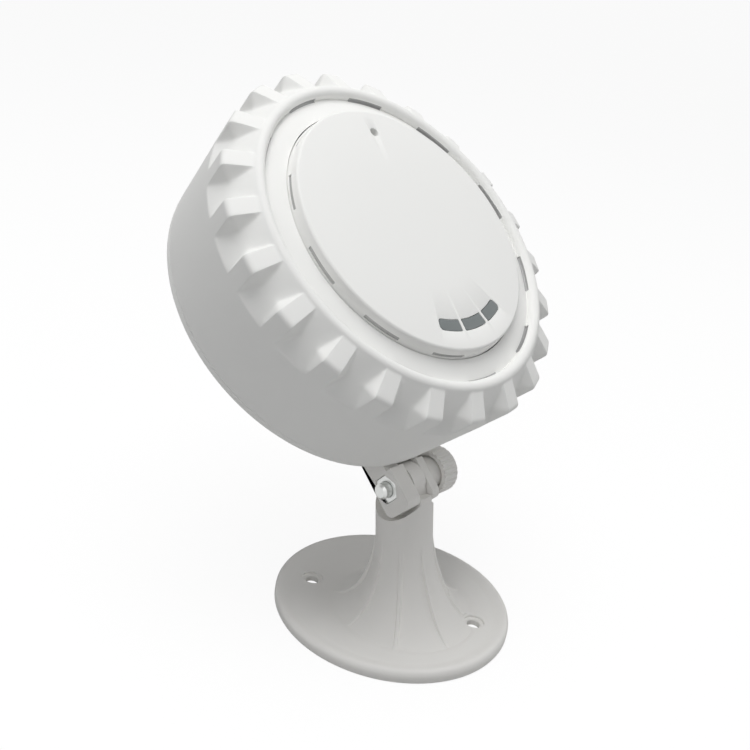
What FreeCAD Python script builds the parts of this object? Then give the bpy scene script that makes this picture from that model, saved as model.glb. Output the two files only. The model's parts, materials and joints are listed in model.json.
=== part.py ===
"""Round room-air sensor head on a swivel bracket, built as separate pieces.

World frame: +Z up, -Y towards the front, origin on the mounting face at the plate's centre.
Column frame: +Z up the raked column, origin where its axis meets the mounting face.
Head frame: +Z out of the head's face, z = 0 on the back cover's outer face, -Y towards the bracket.
"""
import FreeCAD
import Part
import math
import os

V = FreeCAD.Vector
X_AXIS = V(1, 0, 0)
Z_AXIS = V(0, 0, 1)

# --- fits and clearances -------------------------------------------------------------------
RUN_GAP = 0.06            # radial, turning shaft in its bore
LOOSE_GAP = 0.3           # between mouldings that pass close by each other
FIT_GAP = 0.1             # between pieces laid in their pockets
PILOT_GAP = 0.05          # radial, screw in its pilot hole
OVERCUT = 1.0             # cutting tools run this far past the faces they open
SAME = 0.01               # edges closer than this to a face lie on it
LAP = 0.5                 # bosses and posts are sunk this far into their moulding

# --- bracket -------------------------------------------------------------------------------
PLATE_R = 38.7
RIM_TOP = 3.8             # height of the plate's rolled rim
RIM_ROUND = 1.5
RAKE_DEG = 12.3           # column leans back from the plate's axis
COLUMN_FOOT_Y = -5.5      # where the column's axis meets the mounting face
DISH_TOP = 3.0            # plate's top inside its rolled rim
DISH_R = 33.0             # where the rolled rim starts to rise
FLARE_R = 24.0            # radius at the foot of the flare
FLARE_TOP = 27.5          # where the flare has faded into the column
FLARE_STEPS = 7           # sections of the flare
FLARE_SINK = 0.2          # flare's foot below the plate's top
COLUMN_R = 9.2
RECESS_R = 34.5
RECESS_H = 1.0
CORE_FOOT_R = 17.0
CORE_TIP_R = 5.0
CORE_H = 20.0
RIB_COUNT = 8
RIB_LINE_DEG = -11.0      # one rib's place round the column
RIB_T = 1.0
RIB_PROUD = 1.1
RIB_START = 0.0           # along the flare, 0 at the column and 1 at the plate
RIB_END = 0.93
RIB_POINTS = 8
COLUMN_LAP = 2.0          # column and tongue sunk into what carries them
SEAT_GAP = 0.6            # ears swing this far from their seats
SCREW_CIRCLE_R = 27.5
SCREW_LINE_DEG = -61.0
SCREW_HOLE_R = 2.15
SCREW_SINK_R = 3.3
SCREW_SINK_H = 1.0
SCREW_BOSS_R = 5.5
PIVOT_H = 46.2            # pin above the mounting face, up the column
TONGUE_T = 5.6
TONGUE_R = 6.4
TONGUE_SHOULDER = 3.0     # column's own end below the pin

# --- fork and clamp ------------------------------------------------------------------------
NUT_EAR_T = 6.1
KNOB_EAR_T = 3.2
EAR_END = 8.6             # ears' ends past the pin, away from the head
EAR_FRONT = 6.0           # ears' front faces in front of the pin
EAR_REAR = 4.8            # ears' and neck's rear faces behind the pin
EAR_CORNER = 2.5
BOLT_R = 2.5
BOLT_TIP = 2.9            # thread standing out of the ear
BOLT_TIP_CHAMFER = 0.7
HEX_AF = 8.0              # across flats, nut and bolt head alike
NUT_T = 4.0
NUT_SUNK = 0.4            # nut's face below the ear's face
HEAD_T = 3.5
WASHER_T = 1.0
WASHER_R = 5.0
KNOB_R = 7.7
KNOB_WALL = 1.7
KNOB_HUB_R = 5.2
KNOB_LIFT = 3.9           # skirt's edge above the hub's foot
KNOB_L = 10.8
KNOB_FACE_T = 4.6
KNOB_FLUTES = 24
KNOB_FLUTE_R = 0.55
KNOB_ROUND = 1.0          # round on the knob's outer edge

# --- head ----------------------------------------------------------------------------------
TILT_DEG = 50.1           # head's face above the horizontal at rest
HEAD_DEPTH = 47.7         # back cover's face to front cap's face
PIN_BEYOND = 5.1          # pin outside the head's rear edge
PIN_BACK = 4.6            # pin behind the back cover's face
WALL = 2.2
SHOULDER_WALL = 2.8       # wall where the drum turns in under the teeth
CAVITY_BEYOND = 1.6       # cavity reaches this far outside the well, under its floor
BACK_R = 57.0             # outer radius at the rear edge
DRUM_FLARE = 3.1          # how much wider the drum is where the teeth run out
DRUM_BELOW = 17.0         # drum's widest ring below the cap's face
SHOULDER_R = 56.5
SHOULDER_BELOW = 9.4
CREST_OUT_R = 52.9
CREST_R = 51.3
WELL_R = 49.3
CREST_LAND = 0.3          # crest's inner foot outside the well's radius
CREST_BELOW = 2.6         # below the cap's face, as are the next three
CREST_OUT_BELOW = 3.5
WELL_BELOW = 5.3
FLOOR_BELOW = 4.0
FLOOR_T = 2.0
TOOTH_COUNT = 22
TOOTH_W = 6.4
TOOTH_TIP_R = 61.1
TOOTH_TIP_BELOW = 7.2
TOOTH_FOOT_BELOW = 19.0
TOOTH_ROOT = 1.0          # teeth rooted this deep in the crest and shoulder
TOOTH_TIP_ROUND = 0.7     # flat that takes the point off each tooth's tip
CAP_R = 41.5
CAP_DRAFT = 0.6
CAP_ROUND = 0.8
CAP_WALL = 2.0
CAP_TOP_T = 2.2
CAP_LIP = 1.5
CAP_LIP_T = 1.4
SLOT_COUNT = 11
INNER_SLOT_DEG = 16.5
OUTER_SLOT_DEG = 15.5
OUTER_SLOT_IN = 0.6       # outer slots from this far inside the well's wall
OUTER_SLOT_OUT = 1.2      # to this far outside it
SLOT_LIFT = 0.3           # cap's slots above the floor round it
SLOT_H = 1.2
WINDOW_R = 33.4
WINDOW_W = 4.2
WINDOW_DEGS = (14.6, 16.6, 14.6)
WINDOW_GAP_DEG = 1.9
WINDOW_CENTRE_DEG = -86.0
WINDOW_ROUND = 1.3
SENSE_HOLE_R = 1.5
SENSE_HOLE_RADIUS = 33.5
SENSE_HOLE_DEG = 82.0

# --- screws --------------------------------------------------------------------------------
PAN_ROUND = 0.4           # round on a screw's head, as a share of the head's height
CROSS_SPAN = 0.6          # cross recess, as a share of the head's width
CROSS_W = 0.6

# --- back cover ----------------------------------------------------------------------------
COVER_T = 2.4
COVER_ROUND = 0.8         # round on the cover's edge and on its pads
SEAL_INSET = 0.2          # seal's edges inside the land they are squeezed on
COVER_EDGE = 0.3          # cover's edge inside the shell's
SEAL_T = 0.5
SPIGOT_T = 2.0
SPIGOT_H = 4.2
PAD_INSET = 6.7           # screw pads' middles inside the head's rear edge
PAD_R = 4.6
PAD_PROUD = 2.2
PAD_DEG = 37.0            # either side of the bracket, and the same at the far side
POST_R = 4.0
POST_H = 18.0
POST_WEB_T = 2.0
COVER_SCREW_R = 1.5
COVER_SCREW_L = 12.0
SCREW_HEAD_R = 2.8
SCREW_HEAD_H = 1.8
GROMMET_Y = 20.0
GROMMET_R = 4.0
GROMMET_LIP = 1.6
GROMMET_LIP_T = 1.4
GROMMET_ROUND = 0.5
GROMMET_WALL = 1.2

# --- arm's foot on the back cover ----------------------------------------------------------
FOOT_T = 4.5
FOOT_W = 24.0
FOOT_L = 34.0
FOOT_INSET = 7.2          # foot's lower end inside the head's rear edge
NECK_NEAR = 0.8           # neck's near face behind the back cover
NECK_LAP = 4.0            # neck's end beyond the foot's lower end
FOOT_CORNER = 8.4
GUSSET_LEAN = 1.0         # slope of the web's lower end
GUSSET_REACH = 16.0       # where the web between neck and foot runs out, up the foot
ARM_SCREW_ENDS = ((0.0, 28.5), (-7.5, 10.0), (7.5, 10.0))   # across, and up from the foot's lower end
ARM_SCREW_R = 1.5
ARM_SCREW_L = 9.5
ARM_BOSS_R = 3.6
ARM_BOSS_H = 6.5
BLIND_END = 1.0           # skin left at the end of a blind hole

# --- circuit board and what is on it -------------------------------------------------------
BOARD_R = 38.5
BOARD_T = 1.6
BOARD_BELOW = 9.4         # board's near face below the cap's face
BOARD_POST_RADIUS = 26.0
BOARD_POST_R = 3.0
BOARD_SCREW_R = 1.2
BOARD_SCREW_L = 6.5
BOARD_SCREW_HEAD_R = 2.3
BOARD_SCREW_HEAD_H = 1.6
LED_SIZE = (3.0, 2.0, 0.9)
GUIDE_W = 3.2
GUIDE_LIFT = 1.5
GUIDE_BAR_T = 1.4
GUIDE_END_DEG = 4.0       # bar runs on past the windows at each end
GUIDE_FOOT_DEG = 3.0
LIGHT_SENSOR_R = 2.3
LIGHT_SENSOR_H = 6.2
GAS_CAN_R = 4.6
GAS_CAN_H = 5.4
GAS_FLANGE = 0.5
GAS_FLANGE_H = 0.8
GAS_MOUTH_H = 0.6
GAS_PLACE = (-12.0, 9.0)
CLIMATE_SIZE = (8.0, 12.0, 3.2)
CLIMATE_PLACE = (29.0, 0.0)
CLIMATE_WINDOW_H = 0.5
BUZZER_R = 6.0
BUZZER_H = 8.5
BUZZER_HOLE_R = 1.2
BUZZER_WALL = 2.0
BUZZER_PLACE = (17.0, -9.0)
TERMINAL_SIZE = (20.0, 9.0, 10.0)
TERMINAL_PLACE = (0.0, 20.0)
TERMINAL_WAYS = 4
TERMINAL_WAY_R = 1.6
TERMINAL_WAY_DEPTH = 6.0
CAPACITOR_R = 4.0
CAPACITOR_H = 11.0
CAPACITOR_PLACES = ((-20.0, -4.0), (-20.0, 6.0))
CHIP_SIZES = ((9.0, 9.0, 1.2), (6.0, 5.0, 1.6), (4.0, 5.0, 1.4))
CHIP_PLACES = ((0.0, -4.0), (12.0, 6.0), (-8.0, -15.0))
MESH_T = 0.4
MESH_BEYOND = 1.4         # floor mesh reaches this far outside the well


# --- values worked out from the sizes above ------------------------------------------------
PIN_DROP = BACK_R + PIN_BEYOND
DRUM_R = BACK_R + DRUM_FLARE
PAD_RADIUS = BACK_R - PAD_INSET
FOOT_BOTTOM_Y = FOOT_INSET - BACK_R
FOOT_TOP_Y = FOOT_BOTTOM_Y + FOOT_L
NECK_REACH = PIN_DROP + FOOT_BOTTOM_Y + NECK_LAP
NECK_TOP = PIN_BACK - NECK_NEAR
NECK_UNDER = -PIN_BACK - EAR_REAR
DRUM_Z = HEAD_DEPTH - DRUM_BELOW
SHOULDER_Z = HEAD_DEPTH - SHOULDER_BELOW
TOOTH_FOOT_Z = HEAD_DEPTH - TOOTH_FOOT_BELOW
ARM_SCREW_POINTS = [(x, FOOT_BOTTOM_Y + up) for x, up in ARM_SCREW_ENDS]
LEAN_DEG = 90.0 - TILT_DEG
PIN_Y = COLUMN_FOOT_Y + PIVOT_H * math.sin(math.radians(RAKE_DEG))
PIN_Z = PIVOT_H * math.cos(math.radians(RAKE_DEG))
SEAT_R = math.hypot(EAR_END - EAR_CORNER, EAR_FRONT - EAR_CORNER) + EAR_CORNER + SEAT_GAP
FLARE_FOOT = DISH_TOP - FLARE_SINK
EAR_NEAR = TONGUE_T / 2 + LOOSE_GAP
NUT_FACE = -EAR_NEAR - NUT_EAR_T
KNOB_FACE = EAR_NEAR + KNOB_EAR_T
HUB_FOOT = KNOB_FACE + WASHER_T
CREST_Z = HEAD_DEPTH - CREST_BELOW
CREST_OUT_Z = HEAD_DEPTH - CREST_OUT_BELOW
WELL_Z = HEAD_DEPTH - WELL_BELOW
FLOOR_Z = HEAD_DEPTH - FLOOR_BELOW
FLOOR_UNDER = WELL_Z - FLOOR_T
CAP_SIDE_R = CAP_R + CAP_DRAFT
CAP_HOLE_R = CAP_SIDE_R + LOOSE_GAP
CAP_UNDER = HEAD_DEPTH - CAP_TOP_T
CAP_INNER_R = CAP_R - CAP_WALL
TOOTH_TIP_Z = HEAD_DEPTH - TOOTH_TIP_BELOW
SHELL_REAR = COVER_T + SEAL_T
POST_FOOT = COVER_T + SPIGOT_H
BOARD_TOP = HEAD_DEPTH - BOARD_BELOW
BOARD_UNDER = BOARD_TOP - BOARD_T
SLOT_STEP = 360.0 / SLOT_COUNT


# --- small helpers -------------------------------------------------------------------------
def cylinder(radius, low, high, x=0.0, y=0.0):
    return Part.makeCylinder(radius, high - low, V(x, y, low), Z_AXIS)


def x_cylinder(radius, low, high):
    return Part.makeCylinder(radius, high - low, V(low, 0, 0), X_AXIS)


def block(x_span, y_span, z_span):
    size = [span[1] - span[0] for span in (x_span, y_span, z_span)]
    return Part.makeBox(size[0], size[1], size[2], V(x_span[0], y_span[0], z_span[0]))


def block_on(size, place, low):
    return block((place[0] - size[0] / 2, place[0] + size[0] / 2),
                 (place[1] - size[1] / 2, place[1] + size[1] / 2),
                 (low, low + size[2]))


def line(a, b):
    return Part.LineSegment(V(a[0], 0, a[1]), V(b[0], 0, b[1])).toShape()


def arc(a, middle, b):
    return Part.Arc(V(a[0], 0, a[1]), V(middle[0], 0, middle[1]), V(b[0], 0, b[1])).toShape()


def turned(edges):
    """Body of revolution about Z from edges given as (radius, height)."""
    face = Part.Face(Part.Wire(Part.__sortEdges__(edges)))
    return face.revolve(V(0, 0, 0), Z_AXIS, 360)


def turned_polygon(points):
    closed = list(points) + [points[0]]
    return turned([line(closed[i], closed[i + 1]) for i in range(len(points))])


def ring(inner, outer, low, high):
    return cylinder(outer, low, high).cut(cylinder(inner, low - OVERCUT, high + OVERCUT))


def sector(inner, outer, low, high, centre_deg, width_deg):
    """Piece of a ring, width_deg wide."""
    profile = Part.makePolygon([V(inner, 0, low), V(outer, 0, low), V(outer, 0, high),
                                V(inner, 0, high), V(inner, 0, low)])
    solid = Part.Face(profile).revolve(V(0, 0, 0), Z_AXIS, width_deg)
    solid.rotate(V(0, 0, 0), Z_AXIS, centre_deg - width_deg / 2)
    return solid


def hexagon(across_flats, low, high):
    """Hexagonal bar along X, corners up and down."""
    radius = across_flats / math.sqrt(3)
    corners = [V(low, radius * math.sin(math.radians(60 * i)), radius * math.cos(math.radians(60 * i)))
               for i in range(7)]
    return Part.Face(Part.makePolygon(corners)).extrude(V(high - low, 0, 0))


def on_circle(radius, degrees):
    return radius * math.cos(math.radians(degrees)), radius * math.sin(math.radians(degrees))


def joined(shapes):
    return shapes[0].multiFuse(shapes[1:]).removeSplitter()


def pan_screw(radius, length, head_r, head_h):
    """Screw with its head's underside at z = 0 and its shank towards +Z."""
    head = cylinder(head_r, -head_h, 0)
    head = head.makeFillet(head_h * PAN_ROUND, [e for e in head.Edges if e.BoundBox.ZMax < -head_h / 2])
    long_way = (-head_r * CROSS_SPAN, head_r * CROSS_SPAN)
    short_way = (-CROSS_W / 2, CROSS_W / 2)
    slot_long = block(long_way, short_way, (-head_h, -head_h / 2))
    slot_cross = block(short_way, long_way, (-head_h, -head_h / 2))
    shank = cylinder(radius, 0, length)
    return joined([head, shank]).cut(slot_long).cut(slot_cross)


def moved(shape, x, y, z):
    copy = shape.copy()
    copy.translate(V(x, y, z))
    return copy


def in_world(shape):
    """Head frame to world frame, with the head at its rest tilt on the pin."""
    copy = shape.copy()
    copy.translate(V(0, PIN_DROP, PIN_BACK))
    copy.rotate(V(0, 0, 0), X_AXIS, LEAN_DEG)
    copy.translate(V(0, PIN_Y, PIN_Z))
    return copy


def at_pin(shape):
    """Pieces drawn about the pin at the origin, in the head's attitude."""
    return moved(shape, 0, -PIN_DROP, -PIN_BACK)


# --- bracket -------------------------------------------------------------------------------
def up_column(shape):
    """Column frame to world frame."""
    copy = shape.copy()
    copy.rotate(V(0, 0, 0), X_AXIS, -RAKE_DEG)
    copy.translate(V(0, COLUMN_FOOT_Y, 0))
    return copy


def flare_section(part):
    """Centre, lean and radius of the flare; part runs from 0 at the column to 1 at the plate."""
    swing = math.radians(90 * part)
    radius = FLARE_R - (FLARE_R - COLUMN_R) * math.cos(swing)
    height = FLARE_TOP - (FLARE_TOP - FLARE_FOOT) * math.sin(swing)
    centre = V(0, COLUMN_FOOT_Y + height * math.tan(math.radians(RAKE_DEG)), height)
    return centre, RAKE_DEG * math.cos(swing) ** 2, radius


def flare():
    """Trumpet from the raked column down to the level plate."""
    sections = []
    for i in range(FLARE_STEPS):
        centre, lean, radius = flare_section(1 - i / (FLARE_STEPS - 1))
        ring = Part.Wire(Part.makeCircle(radius))
        ring.rotate(V(0, 0, 0), X_AXIS, -lean)
        ring.translate(centre)
        sections.append(ring)
    return Part.makeLoft(sections, True)


def rib(degrees):
    """Thin web that bridges the hollow of the flare."""
    angle = math.radians(degrees)
    rake = math.radians(RAKE_DEG)
    side = V(0, math.sin(rake), math.cos(rake)).cross(V(math.cos(angle), math.sin(angle), 0)).normalize()
    edge = []
    for i in range(RIB_POINTS + 1):
        part = RIB_START + (RIB_END - RIB_START) * i / RIB_POINTS
        centre, lean, radius = flare_section(part)
        outward = side.cross(V(0, math.sin(math.radians(lean)), math.cos(math.radians(lean)))).normalize()
        swing = math.radians(90 * part)
        swell = outward * math.cos(swing) + outward.cross(side) * math.sin(swing)
        edge.append(centre + outward * radius + swell * (RIB_PROUD * math.sin(math.pi * i / RIB_POINTS)))
    curve = Part.BSplineCurve()
    curve.interpolate(edge)
    top_centre = flare_section(RIB_START)[0]
    low_centre = flare_section(RIB_END)[0]
    closing = Part.makePolygon([edge[-1], low_centre, top_centre, edge[0]])
    face = Part.Face(Part.Wire([curve.toShape()] + closing.Edges))
    web = face.extrude(side * RIB_T)
    web.translate(side * (-RIB_T / 2))
    return web


def column_top():
    """Column above the flare, with the fork's seats and the tongue, in the column frame."""
    low = FLARE_TOP - COLUMN_LAP
    tongue_low = PIVOT_H - SEAT_R - COLUMN_LAP
    shoulder = PIVOT_H - TONGUE_SHOULDER
    body = cylinder(COLUMN_R, low, shoulder)
    for side in (-1, 1):
        seat = x_cylinder(SEAT_R, TONGUE_T / 2, 3 * COLUMN_R)
        if side < 0:
            seat = seat.mirror(V(0, 0, 0), X_AXIS)
        seat.translate(V(0, 0, PIVOT_H))
        body = body.cut(seat)
    tongue_flat = block((-TONGUE_T / 2, TONGUE_T / 2), (-TONGUE_R, TONGUE_R), (tongue_low, PIVOT_H))
    tongue_end = moved(x_cylinder(TONGUE_R, -TONGUE_T / 2, TONGUE_T / 2), 0, 0, PIVOT_H)
    return joined([body, tongue_flat, tongue_end])


def bracket_base():
    rim_low = RIM_TOP - RIM_ROUND
    corner = RIM_ROUND * (1 - math.sqrt(0.5))
    plate = turned([
        line((0, 0), (PLATE_R - RIM_ROUND / 2, 0)),
        line((PLATE_R - RIM_ROUND / 2, 0), (PLATE_R, RIM_ROUND / 2)),
        line((PLATE_R, RIM_ROUND / 2), (PLATE_R, rim_low)),
        arc((PLATE_R, rim_low), (PLATE_R - corner, RIM_TOP - corner), (PLATE_R - RIM_ROUND, RIM_TOP)),
        line((PLATE_R - RIM_ROUND, RIM_TOP), (DISH_R, DISH_TOP)),
        line((DISH_R, DISH_TOP), (0, DISH_TOP)),
        line((0, DISH_TOP), (0, 0))])
    ribs = [rib(RIB_LINE_DEG + i * 360.0 / RIB_COUNT) for i in range(RIB_COUNT)]
    body = joined([plate, flare(), up_column(column_top())] + ribs)
    # Hollow underside with a boss under each screw.
    recess = cylinder(RECESS_R, 0, RECESS_H)
    for x, y in plate_holes():
        recess = recess.cut(cylinder(SCREW_BOSS_R, 0, RECESS_H, x, y))
    core = Part.makeCone(CORE_FOOT_R, CORE_TIP_R, CORE_H, V(0, 0, 0), Z_AXIS)
    body = body.cut(recess).cut(up_column(core))
    for x, y in plate_holes():
        body = body.cut(cylinder(SCREW_HOLE_R, -OVERCUT, FLARE_TOP, x, y))
        body = body.cut(cylinder(SCREW_SINK_R, DISH_TOP - SCREW_SINK_H, FLARE_TOP, x, y))
    bore = moved(x_cylinder(BOLT_R + RUN_GAP, -TONGUE_T, TONGUE_T), 0, 0, PIVOT_H)
    return body.cut(up_column(bore))


def plate_holes():
    return [on_circle(SCREW_CIRCLE_R, SCREW_LINE_DEG + half_turn) for half_turn in (0, 180)]


# --- fork, clamp and foot ------------------------------------------------------------------
def ear(span):
    """One ear about the pin: the neck's bar with a rounded end, stepped forward below the head."""
    body = block(span, (-EAR_END, PIN_BEYOND - LOOSE_GAP), (-EAR_REAR, EAR_FRONT))
    end_edges = [e for e in body.Edges if e.BoundBox.YMax < SAME - EAR_END and e.BoundBox.XLength > SAME]
    body = body.makeFillet(EAR_CORNER, end_edges)
    return joined([body, block(span, (0, NECK_REACH), (-EAR_REAR, NECK_TOP))])


def swivel_arm():
    web = block((NUT_FACE, KNOB_FACE), (TONGUE_R + SEAT_GAP, NECK_REACH), (-EAR_REAR, NECK_TOP))
    fork = at_pin(joined([ear((NUT_FACE, -EAR_NEAR)), ear((EAR_NEAR, KNOB_FACE)), web]))
    foot = block((-FOOT_W / 2, FOOT_W / 2), (FOOT_BOTTOM_Y, FOOT_TOP_Y), (-FOOT_T, 0))
    foot = foot.makeFillet(FOOT_CORNER, [e for e in foot.Edges if e.BoundBox.ZLength > FOOT_T - SAME])
    profile = [(0, -FOOT_T / 2), (GUSSET_LEAN, NECK_UNDER), (NECK_LAP + GUSSET_LEAN, NECK_UNDER),
               (GUSSET_REACH, -FOOT_T / 2), (0, -FOOT_T / 2)]
    gusset = Part.makePolygon([V(NUT_FACE, FOOT_BOTTOM_Y + up, low) for up, low in profile])
    arm = joined([fork, foot, Part.Face(gusset).extrude(V(KNOB_FACE - NUT_FACE, 0, 0))])
    for x, y in ARM_SCREW_POINTS:
        arm = arm.cut(cylinder(ARM_SCREW_R + LOOSE_GAP / 2, NECK_UNDER - OVERCUT, OVERCUT, x, y))
        arm = arm.cut(cylinder(SCREW_HEAD_R + LOOSE_GAP, NECK_UNDER - OVERCUT, SCREW_HEAD_H - FOOT_T, x, y))
    pocket = hexagon(HEX_AF + 2 * FIT_GAP, NUT_FACE - OVERCUT, NUT_FACE + NUT_SUNK + NUT_T)
    arm = arm.cut(at_pin(pocket))
    return arm.cut(at_pin(x_cylinder(BOLT_R + RUN_GAP, NUT_FACE - OVERCUT, KNOB_FACE + OVERCUT)))


def clamp_nut():
    face = NUT_FACE + NUT_SUNK
    nut = hexagon(HEX_AF, face, face + NUT_T)
    return at_pin(nut.cut(x_cylinder(BOLT_R + RUN_GAP, face - OVERCUT, face + NUT_T + OVERCUT)))


def clamp_washer():
    washer = x_cylinder(WASHER_R, KNOB_FACE, HUB_FOOT)
    return at_pin(washer.cut(x_cylinder(BOLT_R + LOOSE_GAP, KNOB_FACE - OVERCUT, HUB_FOOT + OVERCUT)))


def clamp_bolt():
    head_low = HUB_FOOT + KNOB_L - HEAD_T - FIT_GAP
    shank = x_cylinder(BOLT_R, NUT_FACE - BOLT_TIP, head_low)
    tip = [e for e in shank.Edges if e.BoundBox.XMax < NUT_FACE]
    shank = shank.makeChamfer(BOLT_TIP_CHAMFER, tip)
    return at_pin(joined([shank, hexagon(HEX_AF, head_low, head_low + HEAD_T)]))


def clamp_knob():
    end = HUB_FOOT + KNOB_L
    skirt = x_cylinder(KNOB_R, HUB_FOOT + KNOB_LIFT, end)
    skirt = skirt.makeFillet(KNOB_ROUND, [e for e in skirt.Edges if e.BoundBox.XMin > end - SAME])
    hollow = x_cylinder(KNOB_R - KNOB_WALL, HUB_FOOT, end - KNOB_FACE_T)
    knob = joined([skirt.cut(hollow), x_cylinder(KNOB_HUB_R, HUB_FOOT, end - KNOB_ROUND)])
    for i in range(KNOB_FLUTES):
        angle = 2 * math.pi * i / KNOB_FLUTES
        flute = x_cylinder(KNOB_FLUTE_R, HUB_FOOT, end + OVERCUT)
        flute.translate(V(0, KNOB_R * math.cos(angle), KNOB_R * math.sin(angle)))
        knob = knob.cut(flute)
    knob = knob.cut(hexagon(HEX_AF + 2 * PILOT_GAP, end - HEAD_T - FIT_GAP, end + OVERCUT))
    return at_pin(knob.cut(x_cylinder(BOLT_R + PILOT_GAP, HUB_FOOT - OVERCUT, end)))


def arm_screws():
    screw = pan_screw(ARM_SCREW_R, ARM_SCREW_L, SCREW_HEAD_R, SCREW_HEAD_H)
    return Part.makeCompound([moved(screw, x, y, -FOOT_T + SCREW_HEAD_H) for x, y in ARM_SCREW_POINTS])


# --- head shell ----------------------------------------------------------------------------
def tooth(degrees):
    foot_r = DRUM_R - (DRUM_Z - TOOTH_FOOT_Z) * DRUM_FLARE / (DRUM_Z - SHELL_REAR)
    corners = [(CREST_OUT_R - TOOTH_ROOT, CREST_OUT_Z - LOOSE_GAP),
               (TOOTH_TIP_R - TOOTH_TIP_ROUND, TOOTH_TIP_Z + TOOTH_TIP_ROUND),
               (TOOTH_TIP_R, TOOTH_TIP_Z - LOOSE_GAP),
               (foot_r, TOOTH_FOOT_Z),
               (foot_r - TOOTH_ROOT, TOOTH_FOOT_Z),
               (SHOULDER_R - TOOTH_ROOT, SHOULDER_Z),
               (CREST_OUT_R - TOOTH_ROOT, CREST_OUT_Z - LOOSE_GAP)]
    outline = Part.makePolygon([V(radius, 0, height) for radius, height in corners])
    solid = Part.Face(outline).extrude(V(0, TOOTH_W, 0))
    solid.translate(V(0, -TOOTH_W / 2, 0))
    solid.rotate(V(0, 0, 0), Z_AXIS, degrees)
    return solid


def housing_shell():
    crest_mid = (CREST_R, CREST_Z)
    outer = [
        line((0, SHELL_REAR), (BACK_R, SHELL_REAR)),
        line((BACK_R, SHELL_REAR), (DRUM_R, DRUM_Z)),
        arc((DRUM_R, DRUM_Z), (SHOULDER_R, SHOULDER_Z), (CREST_OUT_R, CREST_OUT_Z)),
        arc((CREST_OUT_R, CREST_OUT_Z), crest_mid, (WELL_R + CREST_LAND, CREST_OUT_Z)),
        line((WELL_R + CREST_LAND, CREST_OUT_Z), (WELL_R, WELL_Z)),
        line((WELL_R, WELL_Z), (CAP_HOLE_R, FLOOR_Z)),
        line((CAP_HOLE_R, FLOOR_Z), (0, FLOOR_Z)),
        line((0, FLOOR_Z), (0, SHELL_REAR))]
    teeth = [tooth(i * 360.0 / TOOTH_COUNT) for i in range(TOOTH_COUNT)]
    shell = joined([turned(outer)] + teeth)
    cavity = turned_polygon([
        (0, SHELL_REAR - OVERCUT), (BACK_R - WALL, SHELL_REAR - OVERCUT), (BACK_R - WALL, SHELL_REAR),
        (DRUM_R - WALL, DRUM_Z), (SHOULDER_R - SHOULDER_WALL, SHOULDER_Z - OVERCUT),
        (WELL_R + CAVITY_BEYOND, FLOOR_UNDER), (0, FLOOR_UNDER)])
    shell = shell.cut(cavity).cut(cylinder(CAP_HOLE_R, FLOOR_UNDER - OVERCUT, HEAD_DEPTH))
    for i in range(SLOT_COUNT):
        centre = -90.0 + i * SLOT_STEP
        slot = sector(WELL_R - OUTER_SLOT_IN, WELL_R + OUTER_SLOT_OUT, FLOOR_UNDER - OVERCUT, WELL_Z + SLOT_H,
                      centre, OUTER_SLOT_DEG)
        shell = shell.cut(slot)
    posts = []
    for degrees in pad_angles():
        x, y = on_circle(PAD_RADIUS, degrees)
        web = block((PAD_RADIUS, BACK_R - WALL / 2), (-POST_WEB_T / 2, POST_WEB_T / 2),
                    (POST_FOOT, POST_FOOT + POST_H))
        web.rotate(V(0, 0, 0), Z_AXIS, degrees)
        posts.append(joined([cylinder(POST_R, POST_FOOT, POST_FOOT + POST_H, x, y), web]))
    shell = joined([shell] + posts)
    for degrees in pad_angles():
        x, y = on_circle(PAD_RADIUS, degrees)
        pilot = cylinder(COVER_SCREW_R + PILOT_GAP, POST_FOOT - OVERCUT, POST_FOOT + COVER_SCREW_L, x, y)
        shell = shell.cut(pilot)
    return shell


def pad_angles():
    return (-90 - PAD_DEG, -90 + PAD_DEG, 90 - PAD_DEG, 90 + PAD_DEG)


# --- front cap -----------------------------------------------------------------------------
def window_spans():
    """Centre and width of each window, in degrees."""
    total = sum(WINDOW_DEGS) + 2 * WINDOW_GAP_DEG
    start = WINDOW_CENTRE_DEG - total / 2
    spans = []
    for width in WINDOW_DEGS:
        spans.append((start + width / 2, width))
        start += width + WINDOW_GAP_DEG
    return spans


def window_block(index, grow, low, high):
    """Window's plan as a solid, grown all round, with the strip's outer ends rounded."""
    centre, width = window_spans()[index]
    grow_deg = math.degrees(grow / WINDOW_R)
    inner = WINDOW_R - WINDOW_W / 2 - grow
    outer = WINDOW_R + WINDOW_W / 2 + grow
    solid = sector(inner, outer, low, high, centre, width + 2 * grow_deg)
    if index == 1:
        return solid
    sign = -1 if index == 0 else 1
    end = centre + sign * (width / 2 + grow_deg)
    upright = [e for e in solid.Edges if e.BoundBox.ZLength > high - low - SAME]
    ends = []
    for edge in upright:
        point = edge.CenterOfMass
        degrees = math.degrees(math.atan2(point.y, point.x))
        if abs(degrees - end) < WINDOW_GAP_DEG / 2:
            ends.append(edge)
    return solid.makeFillet(WINDOW_ROUND, ends)


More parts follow.
